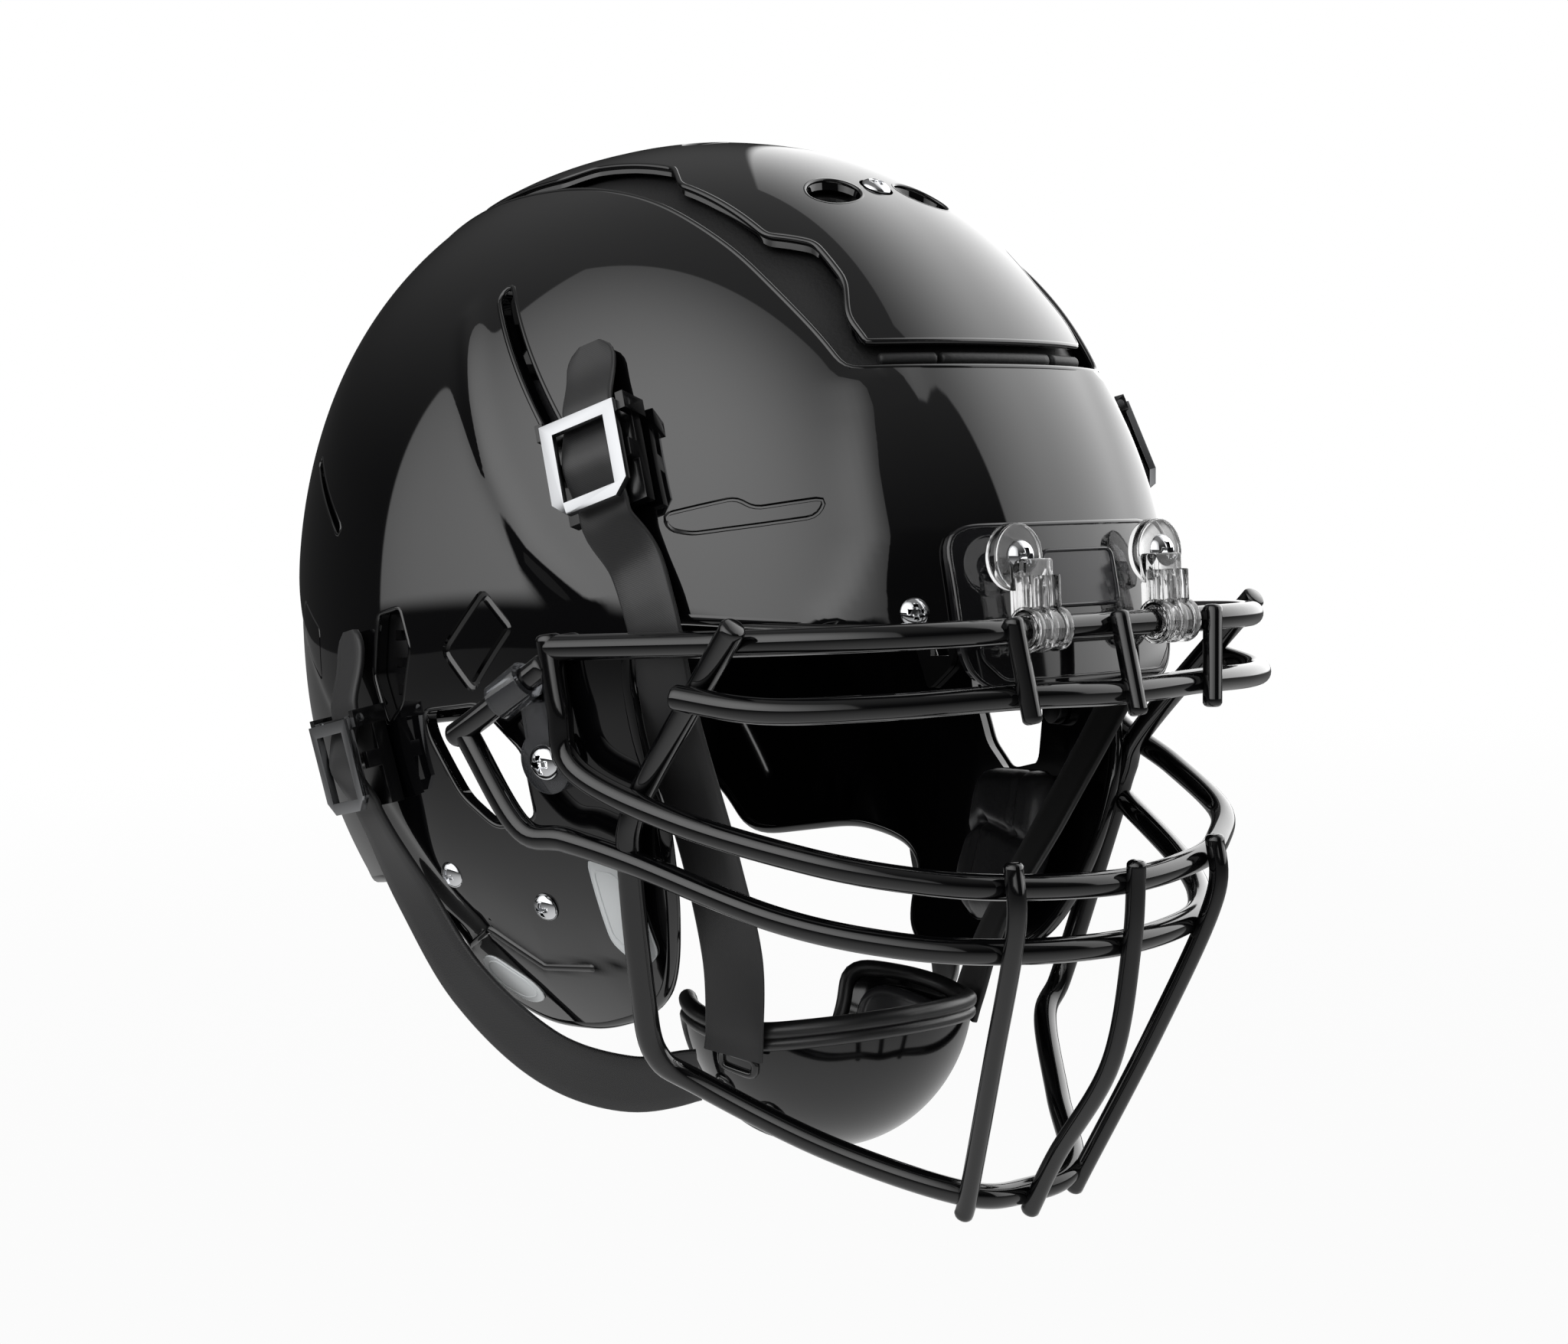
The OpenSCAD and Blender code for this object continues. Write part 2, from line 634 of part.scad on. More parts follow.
shell();
crown_gasket();
crown_plate();
crown_plate_screws();
brow_bumper();
nameplate();
top_clip_right();
top_clip_left();
top_clip_screws();
brow_screws();
jaw_screws();
jaw_badges();
model_badges();
side_clip_nuts();
rear_vent_inserts();
nape_bumper();
nape_bumper_screws();
air_valves();
snap_studs();
guard_top_bar();
guard_brow_bar();
guard_upper_mouth_bar();
guard_lower_mouth_bar();
guard_chin_wire();
guard_brow_struts();
guard_front_wires();
guard_side_stubs();
side_clip_right();
side_clip_left();
side_clip_screws();
buckle_base_upper_right();
buckle_base_upper_left();
buckle_base_lower_right();
buckle_base_lower_left();
buckle_frame_upper_right();
buckle_frame_upper_left();
buckle_frame_lower_right();
buckle_frame_lower_left();
strap_upper_right();
strap_upper_left();
strap_lower_right();
strap_lower_left();
chin_cup();
chin_cup_rim();
chin_cup_pad();
front_pad();
crown_pad();
side_pad_right();
side_pad_left();
back_pad();
nape_pad();
jaw_pad_right();
jaw_pad_left();
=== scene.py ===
"""Looks for the american football helmet: smooth shell, wires, webbing, pads and fittings."""
import json
import math

import bpy
import numpy as np
from mathutils import Matrix, Vector

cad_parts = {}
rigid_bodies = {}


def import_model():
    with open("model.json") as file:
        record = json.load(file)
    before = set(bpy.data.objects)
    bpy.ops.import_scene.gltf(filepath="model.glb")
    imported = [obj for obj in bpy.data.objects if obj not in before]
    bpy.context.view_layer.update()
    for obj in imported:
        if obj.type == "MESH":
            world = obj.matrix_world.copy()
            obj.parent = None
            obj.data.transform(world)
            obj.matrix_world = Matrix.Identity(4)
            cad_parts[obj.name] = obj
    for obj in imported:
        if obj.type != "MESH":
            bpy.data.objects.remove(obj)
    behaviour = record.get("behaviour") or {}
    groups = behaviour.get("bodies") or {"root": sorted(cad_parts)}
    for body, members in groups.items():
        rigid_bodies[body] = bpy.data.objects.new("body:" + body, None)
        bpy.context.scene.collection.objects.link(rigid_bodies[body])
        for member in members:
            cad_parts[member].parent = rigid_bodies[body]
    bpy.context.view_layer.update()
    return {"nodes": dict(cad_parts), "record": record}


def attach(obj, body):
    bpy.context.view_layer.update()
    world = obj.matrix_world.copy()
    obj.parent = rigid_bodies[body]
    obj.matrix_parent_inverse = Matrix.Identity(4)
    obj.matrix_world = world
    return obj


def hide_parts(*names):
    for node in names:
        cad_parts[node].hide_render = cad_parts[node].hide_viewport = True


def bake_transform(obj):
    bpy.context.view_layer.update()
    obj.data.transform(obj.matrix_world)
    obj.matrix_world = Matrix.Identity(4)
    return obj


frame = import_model()
NODES = frame["nodes"]
BODY_OF = {n: b for b, ns in frame["record"]["behaviour"]["bodies"].items() for n in ns}
MM = 0.001

# ---- the shell's surface, in millimetres -----------------------------------------------
# A rounded egg: a power-law ellipsoid, leaning back with height and narrower at the face.
EGG_Y, EGG_Z, EGG_LEAN = 1.5, 6.5, 0.09
HALF_WIDTH, TAPER, PLAN_POWER = 116, 0.07, 2.25
BACK, FRONT, NECK, CROWN = 159, 147, 150, 155.5
WALL, RECESS = 4.2, 6.2


def soft_step(v):
    return 1 / (1 + np.exp(-np.clip(v, -60, 60)))


def mix(a, b, f):
    return a + (b - a) * f


def unit(v):
    v = np.asarray(v, float)
    return v / np.linalg.norm(v, axis=-1, keepdims=True)


def egg_radius(u):
    f, up = soft_step(-4 * u[..., 1]), soft_step(8 * u[..., 2])
    reach_y, reach_z, q = mix(BACK, FRONT, f), mix(NECK, CROWN, up), mix(2, 2.2, up)
    plan = (abs(u[..., 0]) / (HALF_WIDTH * (1 - TAPER * f))) ** PLAN_POWER
    plan = plan + (abs(u[..., 1]) / reach_y) ** PLAN_POWER
    return (plan ** (q / PLAN_POWER) + (abs(u[..., 2]) / reach_z) ** q) ** (-1 / q)


def draw_in(y, z):
    return 1 - 0.03 * soft_step(-(z + 8) / 7) * soft_step(-(y + 10) / 14)


def segment_distance(y, z, a, b):
    """Distance from (y, z) to a segment, with the share along it and the side it lies on."""
    d = np.array(b, float) - a
    length = np.hypot(*d)
    t = np.clip(((y - a[0]) * d[0] + (z - a[1]) * d[1]) / length ** 2, 0, 1)
    side = (y - a[0]) * d[1] - (z - a[1]) * d[0]
    return np.hypot(y - a[0] - t * d[0], z - a[1] - t * d[1]), t, side / length


def path_distance(y, z, path):
    best, side = np.full(np.shape(y), 1e9), np.zeros(np.shape(y))
    for a, b in zip(path[:-1], path[1:]):
        d, _, s = segment_distance(y, z, a, b)
        side = np.where(d < best, s, side)
        best = np.minimum(best, d)
    return best, side


# Side-view lines (y, z) of the moulded relief.
SLOT_RIDGE = [(8, 108), (-6, 84), (-21, 61), (-39, 39), (-58, 23)]
REAR_FOLD = [(150, 66), (112, 32), (84, 8), (56, -16), (36, -34), (22, -52)]
TEMPLE_RIDGE = [(-117, 80), (-120, 72), (-128, 38), (-126, 23), (-123, 17)]
JAW_STEP = [(24, -80), (4, -71), (-13, -81.5), (-36, -80)]


def relief(p):
    """Height in mm of the moulded lines over the plain egg, outwards positive."""
    x, y, z = abs(p[..., 0]), p[..., 1], p[..., 2]
    side = soft_step((x - 30) / 4)
    d, s = path_distance(y, z, SLOT_RIDGE)
    fade = soft_step((z - 28) / 5) * soft_step(-(z - 108) / 4)
    h = 1.1 * np.exp(-(d / 4.5) ** 2) * fade
    d, s = path_distance(y, z, REAR_FOLD)
    h = h + 1.2 * (soft_step(s / 1.3) - 0.5) * np.exp(-(d / 26) ** 2)
    d, s = path_distance(y, z, TEMPLE_RIDGE)
    h = h + 1.5 * np.exp(-(d / np.where(s > 0, 8.5, 5.5)) ** 2) * soft_step((x - 34) / 3)
    d, s = path_distance(y, z, JAW_STEP)
    h = h - 1.7 * (soft_step(s / 0.6) - 0.5) * np.exp(-(d / 13) ** 2)
    return h * side


def depth(p, with_relief=True):
    """Height of points over the shell's outer surface, measured along the ray from its centre."""
    p = np.asarray(p, float)
    v = np.stack([p[..., 0] / draw_in(p[..., 1], p[..., 2]),
                  p[..., 1] - EGG_Y - EGG_LEAN * (p[..., 2] - EGG_Z), p[..., 2] - EGG_Z], -1)
    r = np.linalg.norm(v, axis=-1)
    d = r - egg_radius(v / r[..., None])
    return d - relief(p) if with_relief else d


def normal(p, with_relief=True, step=0.2):
    p = np.asarray(p, float)
    g = [depth(p + e, with_relief) - depth(p - e, with_relief) for e in step * np.eye(3)]
    return unit(np.stack(g, -1))


def toward(th, ph):
    th, ph = np.radians(th), np.radians(ph)
    return np.stack([np.cos(ph) * np.sin(th), -np.cos(ph) * np.cos(th), np.sin(ph) + 0 * th], -1)


def egg_from(u, off):
    r = egg_radius(u) + off
    z, y = EGG_Z + r * u[..., 2], EGG_Y + r * u[..., 1] + EGG_LEAN * r * u[..., 2]
    return np.stack([r * u[..., 0] * draw_in(y, z), y, z], -1)


def egg(th, ph, off=0.0):
    return egg_from(toward(th, ph), off)


def on_axis(points, axis, off=0.0, sign=1, with_relief=False):
    """Fills in coordinate `axis` of points so that each lies at height off over the surface."""
    p = np.array(points, float)
    low, high = np.zeros(len(p)), np.full(len(p), 220.0)
    for _ in range(34):
        mid = (low + high) / 2
        p[:, axis] = sign * mid
        inside = depth(p, with_relief) < off
        low, high = np.where(inside, mid, low), np.where(inside, high, mid)
    p[:, axis] = sign * (low + high) / 2
    return p


# ---- small helpers for outlines and paths ----------------------------------------------
def rounded(points, r, n=6):
    """A closed outline with each corner replaced by a short curve."""
    p = np.array(points, float)
    out = []
    for i in range(len(p)):
        a, b, c = p[i - 1], p[i], p[(i + 1) % len(p)]
        ra = min(r, 0.45 * np.linalg.norm(a - b))
        rc = min(r, 0.45 * np.linalg.norm(c - b))
        s, e = b + unit(a - b) * ra, b + unit(c - b) * rc
        for t in np.linspace(0, 1, n):
            out.append((1 - t) ** 2 * s + 2 * t * (1 - t) * b + t * t * e)
    return np.array(out)


def resample(points, step, closed=False):
    p = np.array(points, float)
    if closed:
        p = np.vstack([p, p[:1]])
    seg = np.linalg.norm(np.diff(p, axis=0), axis=1)
    at = np.concatenate([[0], np.cumsum(seg)])
    n = max(2, int(round(at[-1] / step)))
    want = np.linspace(0, at[-1], n + 1)
    if closed:
        want = want[:-1]
    return np.stack([np.interp(want, at, p[:, k]) for k in range(p.shape[1])], 1)


def smooth(points, n):
    """The Catmull-Rom path that the CAD wires and straps follow."""
    p = np.array(points, float)
    q = np.vstack([2 * p[0] - p[1], p, 2 * p[-1] - p[-2]])
    out = []
    for a, b, c, d in zip(q[:-3], q[1:-2], q[2:-1], q[3:]):
        for t in np.arange(n) / n:
            out.append(0.5 * (2 * b + (c - a) * t + (2 * a - 5 * b + 4 * c - d) * t * t
                              + (3 * b - a - 3 * c + d) * t ** 3))
    return np.array(out + [p[-1]])


def mirrored(half):
    half = np.array(half, float)
    return np.vstack([half, half[-2::-1] * [-1, 1, 1]])


def flip(points):
    return np.array(points, float) * [-1, 1, 1]


# ---- materials --------------------------------------------------------------------------
def colour(text):
    rgb = [int(text[i:i + 2], 16) / 255 for i in (1, 3, 5)]
    return [c / 12.92 if c <= 0.04045 else ((c + 0.055) / 1.055) ** 2.4 for c in rgb] + [1]


def node(tree, kind, values=(), links=(), **settings):
    """Adds a shader node, sets its values and settings, and links {input: socket}."""
    n = tree.nodes.new(kind)
    for name, value in settings.items():
        setattr(n, name, value)
    for name, value in dict(values).items():
        n.inputs[name].default_value = value
    for name, socket in dict(links).items():
        tree.links.new(socket, n.inputs[name])
    return n


def material(name, hex_colour, roughness, values=(), bump=None):
    """A Principled material; bump is (pattern scale per metre, height in metres, kind)."""
    m = bpy.data.materials.new(name)
    m.use_nodes = True
    tree = m.node_tree
    shader = tree.nodes["Principled BSDF"]
    shader.inputs["Base Color"].default_value = colour(hex_colour)
    shader.inputs["Roughness"].default_value = roughness
    for key, value in dict(values).items():
        shader.inputs[key].default_value = value
    if bump:
        scale, height, kind = bump
        place = node(tree, "ShaderNodeTexCoord")
        if kind == "weave":
            pattern = node(tree, "ShaderNodeTexWave", {"Scale": scale, "Distortion": 0.4},
                           {"Vector": place.outputs["UV"]}, wave_type="BANDS", bands_direction="DIAGONAL")
        else:
            pattern = node(tree, "ShaderNodeTexNoise", {"Scale": scale, "Detail": 3.0},
                           {"Vector": place.outputs["Object"]})
        lift = node(tree, "ShaderNodeBump", {"Strength": 0.5, "Distance": height},
                    {"Height": pattern.outputs["Fac"]})
        tree.links.new(lift.outputs["Normal"], shader.inputs["Normal"])
    return m


# Moulded polycarbonate, gloss black lacquer.
SHELL = material("shell_gloss", "#050506", 0.035, {"Coat Weight": 0.35, "Coat Roughness": 0.02})
# Steel wire dipped in black vinyl.
VINYL = material("guard_coating", "#060607", 0.08, {"Coat Weight": 0.2, "Coat Roughness": 0.05})
# Soft thermoplastic gasket, nearly matt.
GASKET = material("gasket_rubber", "#0b0b0c", 0.55, bump=(900, 0.0002, "grain"))
# Black nylon fittings.
NYLON = material("black_fittings", "#070708", 0.28)
BUCKLE = material("buckle_plastic", "#060607", 0.22)
# Chromed steel. The buckle frames use a darker copy of the chrome, painted shade that tones down their
# reflection of the softbox.
CHROME = material("chrome_hardware", "#c9cacc", 0.05, {"Metallic": 1.0})
SHADED_FRAME_CHROME = material("chrome_buckle", "#9fa0a2", 0.12, {"Metallic": 1.0})
# Clear and smoked polycarbonate clips.
CLEAR = material("clear_clip", "#ffffff", 0.03, {"Transmission Weight": 1.0, "IOR": 1.49})
SMOKE = material("smoke_clip", "#85878b", 0.05, {"Transmission Weight": 0.9, "IOR": 1.49})
# Tinted plate on the brow.
BUMPER = material("bumper_smoke", "#101012", 0.07, {"Coat Weight": 0.4, "Coat Roughness": 0.03})
PLATE = material("blank_plate", "#27272a", 0.16)
# Satin aluminium foil badge.
BADGE = material("silver_badge", "#c3c6c7", 0.4)
# Polyester webbing with a calendered, satin face.
WEBBING = material("webbing", "#19191a", 0.46, {"Sheen Weight": 0.1, "Sheen Roughness": 0.4},
                   bump=(900, 0.00003, "weave"))
# Injection moulded chin cup, its soft rim, and the liner skin.
CUP = material("cup_gloss", "#080809", 0.09, {"Coat Weight": 0.2, "Coat Roughness": 0.05})
CUP_RUBBER = material("cup_rubber", "#161617", 0.36)
SKIN = material("pad_skin", "#262628", 0.36, {"Coat Weight": 0.1, "Coat Roughness": 0.25},
                bump=(700, 0.00015, "grain"))


# ---- mesh helpers -----------------------------------------------------------------------
def select_only(*objects):
    bpy.ops.object.select_all(action="DESELECT")
    for o in objects:
        o.select_set(True)
    bpy.context.view_layer.objects.active = objects[0]


def make(name, points, faces, uv=None):
    """A new mesh object from points in millimetres; it stands at the origin."""
    mesh = bpy.data.meshes.new(name)
    mesh.from_pydata((np.asarray(points, float) * MM).tolist(), [], [list(map(int, f)) for f in faces])
    if uv is not None:
        layer = mesh.uv_layers.new(name="UVMap")
        corner = np.empty(len(mesh.loops), np.int64)
        mesh.loops.foreach_get("vertex_index", corner)
        layer.data.foreach_set("uv", np.asarray(uv, np.float32)[corner].ravel())
    mesh.update()
    piece = bpy.data.objects.new(name, mesh)
    bpy.context.collection.objects.link(piece)
    return piece


def shade(piece, angle=35):
    select_only(piece)
    bpy.ops.object.shade_smooth_by_angle(angle=math.radians(angle))


def apply_all(piece):
    select_only(piece)
    for m in list(piece.modifiers):
        bpy.ops.object.modifier_apply(modifier=m.name)


def bevel(piece, width, segments=2, angle=30):
    m = piece.modifiers.new("edge", "BEVEL")
    m.width, m.segments, m.limit_method = width * MM, segments, "ANGLE"
    m.angle_limit, m.harden_normals = math.radians(angle), False
    m.use_clamp_overlap = True
    apply_all(piece)


def cut(piece, cutter, operation="DIFFERENCE"):
    m = piece.modifiers.new("cut", "BOOLEAN")
    m.operation, m.solver, m.object = operation, "MANIFOLD", cutter
    select_only(piece)
    bpy.ops.object.modifier_apply(modifier=m.name)
    mesh = cutter.data
    bpy.data.objects.remove(cutter)
    bpy.data.meshes.remove(mesh)
    return piece


def join(name, pieces):
    select_only(*pieces)
    if len(pieces) > 1:
        bpy.ops.object.join()
    pieces[0].name = name
    return pieces[0]


def dress(piece, mat, body, replaces=()):
    if mat is not None:
        piece.data.materials.clear()
        piece.data.materials.append(mat)
    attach(piece, body)
    if replaces:
        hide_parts(*replaces)
    return piece


def prism(name, outline, axis, low, high):
    """A closed prism: axis 0 takes a (y, z) outline, 1 takes (x, z) and 2 takes (x, y)."""
    o = np.asarray(outline, float)
    area = np.sum(o[:, 0] * np.roll(o[:, 1], -1) - np.roll(o[:, 0], -1) * o[:, 1])
    if (area < 0) != (axis == 1):
        o = o[::-1]
    n = len(o)
    caps = [np.insert(o, axis, v, axis=1) for v in (low, high)]
    sides = [(i, (i + 1) % n, n + (i + 1) % n, n + i) for i in range(n)]
    return make(name, np.vstack(caps), [tuple(range(n))[::-1], tuple(range(n, 2 * n))] + sides)


def egg_ball(name, off, segments, rings, with_relief=False):
    """A sphere primitive whose vertices are moved onto the shell's surface."""
    bpy.ops.object.select_all(action="DESELECT")
    bpy.ops.mesh.primitive_uv_sphere_add(segments=segments, ring_count=rings, radius=1)
    ball = bpy.context.active_object
    ball.name = name
    u = np.empty(len(ball.data.vertices) * 3)
    ball.data.vertices.foreach_get("co", u)
    u = unit(u.reshape(-1, 3))
    p = egg_from(u, off)
    if with_relief:
        p = egg_from(u, off + relief(p))
    ball.data.vertices.foreach_set("co", (p * MM).ravel())
    ball.data.update()
    return ball


def sweep(name, path, radius, sides=16, closed=False, fillet=0.9, squash=1.0):
    """A round wire along a path in mm, its ends flat with a small fillet."""
    p = np.array(path, float)
    if closed:
        t = unit(np.roll(p, -1, 0) - np.roll(p, 1, 0))
    else:
        t = unit(np.gradient(p, axis=0))
    u = np.cross(t[0], [0, 0, 1.0])
    if np.linalg.norm(u) < 0.2:
        u = np.cross(t[0], [0, 1.0, 0])
    us = []
    for d in t:
        u = unit(u - d * np.dot(u, d))
        us.append(u)
    us = np.array(us)
    if closed:
        # the frame comes back turned by some angle, shared out along the loop
        v0 = np.cross(t[0], us[0])
        last = unit(us[-1] - t[0] * np.dot(us[-1], t[0]))
        turn = math.atan2(np.dot(last, v0), np.dot(last, us[0]))
        a = -turn * np.arange(len(p)) / len(p)
        vs = np.cross(t, us)
        us = us * np.cos(a)[:, None] + vs * np.sin(a)[:, None]
    vs = np.cross(t, us)
    r = np.full(len(p), float(radius)) if np.isscalar(radius) else np.asarray(radius, float)
    if not closed:
        steps = [(0.0, 1.0), (0.29, 0.45), (1.0, 0.0)]
        head = [(p[0] + t[0] * fillet * s, us[0], vs[0], r[0] - fillet * c) for s, c in steps]
        tail = [(p[-1] - t[-1] * fillet * s, us[-1], vs[-1], r[-1] - fillet * c) for s, c in reversed(steps)]
        inner = [(p[i], us[i], vs[i], r[i]) for i in range(1, len(p) - 1)
                 if np.linalg.norm(p[i] - p[0]) > fillet * 1.5 and np.linalg.norm(p[i] - p[-1]) > fillet * 1.5]
        rings = head + inner + tail
    else:
        rings = list(zip(p, us, vs, r))
    a = 2 * np.pi * np.arange(sides) / sides
    pts = np.vstack([c + rr * (np.cos(a)[:, None] * uu + squash * np.sin(a)[:, None] * vv)
                     for c, uu, vv, rr in rings])
    m = len(rings)
    faces = [(i % m * sides + k, i % m * sides + (k + 1) % sides,
              (i + 1) % m * sides + (k + 1) % sides, (i + 1) % m * sides + k)
             for i in range(m if closed else m - 1) for k in range(sides)]
    if not closed:
        faces += [tuple(range(sides))[::-1], tuple(range((m - 1) * sides, m * sides))]
    piece = make(name, pts, faces)
    shade(piece, 40)
    return piece


def ribbon(name, path, facing, widths, thickness, step=2.0, end_round=False):
    """Webbing with rounded edges; facing is its outward side at each point."""
    p, f = smooth(path, 10), smooth(facing, 10)
    w = smooth(np.array(widths, float)[:, None], 10)[:, 0]
    seg = np.concatenate([[0], np.cumsum(np.linalg.norm(np.diff(p, axis=0), axis=1))])
    want = np.linspace(0, seg[-1], int(seg[-1] / step) + 1)
    at = lambda v: np.stack([np.interp(want, seg, v[:, k]) for k in range(v.shape[1])], 1)
    p, f, w = at(p), at(f), np.interp(want, seg, w)
    if end_round:
        # the free end is cut to a shallow curve
        gone = np.clip(1 - want / 7, 0, 1)
        w = w * np.sqrt(np.clip(1 - 0.75 * gone ** 2, 0.05, 1))
    t = unit(np.gradient(p, axis=0))
    across = unit(np.cross(t, f))
    out = np.cross(across, t)
    h = thickness / 2
    section = [(-1, 0, 0, 0), (-1, 0, 0.3, 0.75), (-1, 1, 0.9, 1), (-0.5, 0, 0, 1), (0, 0, 0, 1),
               (0.5, 0, 0, 1), (1, 1, 0.9, 1), (1, 0, 0.3, 0.75), (1, 0, 0, 0), (1, 0, 0.3, -0.75),
               (1, 1, 0.9, -1), (0.5, 0, 0, -1), (0, 0, 0, -1), (-0.5, 0, 0, -1), (-1, 1, 0.9, -1),
               (-1, 0, 0.3, -0.75)]
    pts, uv = [], []
    for i in range(len(p)):
        for s, _, inset, up in section:
            x = s * w[i] / 2 - np.sign(s) * inset
            pts.append(p[i] + across[i] * x + out[i] * up * h)
            uv.append((x * MM, want[i] * MM))
    n, m = len(section), len(p)
    faces = [(i * n + k, (i + 1) * n + k, (i + 1) * n + (k + 1) % n, i * n + (k + 1) % n)
             for i in range(m - 1) for k in range(n)]
    faces += [tuple(range(n)), tuple(range((m - 1) * n, m * n))[::-1]]
    piece = make(name, pts, faces, uv)
    shade(piece, 50)
    return piece


def refine(source, name, width, mat, angle=35, segments=2):
    """A copy of a CAD node, merged and with its edges softened, standing for it."""
    old = NODES[source]
    piece = old.copy()
    piece.data = old.data.copy()
    piece.name = name
    piece.parent = None
    for key in [k for k in piece.keys() if k.startswith("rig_")]:
        del piece[key]
    bpy.context.collection.objects.link(piece)
    piece.matrix_world = Matrix.Identity(4)
    select_only(piece)
    bpy.ops.object.mode_set(mode="EDIT")
    bpy.ops.mesh.select_all(action="SELECT")
    bpy.ops.mesh.remove_doubles(threshold=0.00002)
    bpy.ops.mesh.dissolve_limited(angle_limit=math.radians(2))
    bpy.ops.mesh.customdata_custom_splitnormals_clear()
    bpy.ops.object.mode_set(mode="OBJECT")
    if width:
        bevel(piece, width, segments, angle)
    shade(piece, 38)
    return dress(piece, mat, BODY_OF[source], [source])


# ---- pieces that follow a curved surface ------------------------------------------------
def exact_normals(piece, layers):
    """Gives faces lying on known surfaces their exact normals; layers are (height, gradient, side)."""
    mesh = piece.data
    shade(piece, 40)
    n, m = len(mesh.loops), len(mesh.polygons)
    base = np.empty(n * 3, np.float32)
    mesh.corner_normals.foreach_get("vector", base)
    base = base.reshape(-1, 3).astype(float)
    co, corner = np.empty(len(mesh.vertices) * 3), np.empty(n, np.int64)
    mesh.vertices.foreach_get("co", co)
    mesh.loops.foreach_get("vertex_index", corner)
    co = co.reshape(-1, 3) / MM
    centre, face_n = np.empty(m * 3), np.empty(m * 3)
    mesh.polygons.foreach_get("center", centre)
    mesh.polygons.foreach_get("normal", face_n)
    centre, face_n = centre.reshape(-1, 3) / MM, face_n.reshape(-1, 3)
    total = np.empty(m, np.int64)
    mesh.polygons.foreach_get("loop_total", total)
    face_of = np.repeat(np.arange(m), total)
    for height, gradient, side in layers:
        on = abs(height(centre)) < 0.6
        if not on.any():
            continue
        on[on] = np.sum(gradient(centre[on]) * face_n[on], 1) * side > 0.9
        loops = on[face_of]
        base[loops] = side * gradient(co[corner[loops]])
    mesh.polygons.foreach_set("use_smooth", [True] * m)
    mesh.normals_split_custom_set(base.tolist())
    return piece


def egg_layer_at(off, side, with_relief=False):
    return (lambda p: depth(p, with_relief) - off, lambda p: normal(p, with_relief), side)


def surface_path(outline, axis, off, sign=1, step=1.5, with_relief=True):
    """A closed outline laid on the shell at height off."""
    o = resample(outline, step, True)
    return on_axis(np.insert(o, axis, 0.0, axis=1), axis, off, sign, with_relief)


def plate_on_shell(name, outline, axis, low, high, inner, outer, lip=0.0, segments=160):
    """A plate between two heights over the shell, cut to an outline; lip rounds its upper edge."""
    piece = egg_ball(name, outer, segments, segments // 2)
    cut(piece, prism(name + "_outline", outline, axis, low, high), "INTERSECT")
    cut(piece, egg_ball(name + "_inner", inner, segments, segments // 2))
    exact_normals(piece, [egg_layer_at(outer, 1), egg_layer_at(inner, -1)])
    if lip:
        sign = 1 if low + high > 0 else -1
        path = surface_path(outline, axis, outer - lip * 0.75, sign, with_relief=False)
        bead = sweep(name + "_lip", path, lip, 10, closed=True)
        piece = join(name, [piece, bead])
    return piece


def box_outline(x0, x1, z0, z1, r=2.0):
    return rounded([(x0, z0), (x1, z0), (x1, z1), (x0, z1)], r)


# ---- shell ------------------------------------------------------------------------------
SHELL_EDGE = [[-175, 12], [-120, 15], [-80, 19], [-71, 16], [-69, 5], [-70, -18], [-73, -35],
              [-71, -50], [-68, -62], [-62, -76], [-54, -87], [-42, -94], [-22, -99], [0, -99], [14, -92],
              [19, -82], [19, -73], [28, -65], [40, -61], [56, -58], [92, -62], [106, -46], [124, -31],
              [145, -18], [180, -12], [180, 175], [-175, 175]]
EAR_HOLE = [[9, -6], [-16, -4], [-31, -18], [-31, -37], [-14, -40], [-2, -31], [8, -13]]
REAR_VENT = [[30, 22], [18, 24], [13, 12], [18, -4], [27, -11], [33, 4]]
DIAMOND = [[-20, 27], [-31, 17], [-14, 0], [-3, 11]]
BLADE = [(-80, 46), (-97.5, 49.5), (-102, 46.5), (-116, 48.5), (-115, 43.5), (-103, 42), (-88, 40.5), (-82, 42)]
HEX_MARK = [(90, 27), (72, 18), (72, 2), (93, 13)]
PLATE_HALF = [[0, -130], [30, -128], [39, -118], [42, -104], [37, -98], [37, -86], [46, -76],
              [47, -40], [41, -30], [41, 8], [46, 18], [44, 62], [37, 70], [33, 98], [24, 106], [0, 108]]
RECESS_HALF = [[0, -140], [38, -136], [47, -118], [54, -90], [56, -60], [56, -20], [54, 30],
               [50, 80], [42, 106], [30, 116], [0, 119]]
RECESS_FLOOR_Z, PLATE_FLOOR_Z = 83, 90.5


def both_halves(half):
    half = np.array(half, float)
    return np.vstack([half, half[-2:0:-1] * [-1, 1]])


recess_plan = rounded(both_halves(RECESS_HALF), 9)
plate_plan = rounded(both_halves(PLATE_HALF), 2.2, 5)
edge_outline = rounded(SHELL_EDGE, 8)
ear_outline = rounded(EAR_HOLE, 3.5)
vent_outline = rounded(REAR_VENT, 2)


def slot_outline(a, b, w, n=10):
    a, b = np.array(a, float), np.array(b, float)
    d = unit(b - a)
    s = np.array([-d[1], d[0]])
    turn = np.radians(np.linspace(-90, 90, n))[:, None]
    end = lambda c, k: c + w / 2 * k * (np.cos(turn) * d + np.sin(turn) * s)
    return np.vstack([end(b, 1), end(a, -1)])


SIDE_SLOT = slot_outline((-5, 112), (-42, 71), 5.5)
REAR_SLOT = slot_outline((85, 69), (58, 48), 4)
VENTS = [((17, -72), (9.5, 6.6)), ((-17, -72), (9.5, 6.6)), ((15, -12), (8, 5.5)), ((-15, -12), (8, 5.5))]
PLATE_SCREWS = [(0, 57.4), (180, 88), (180, 62)]


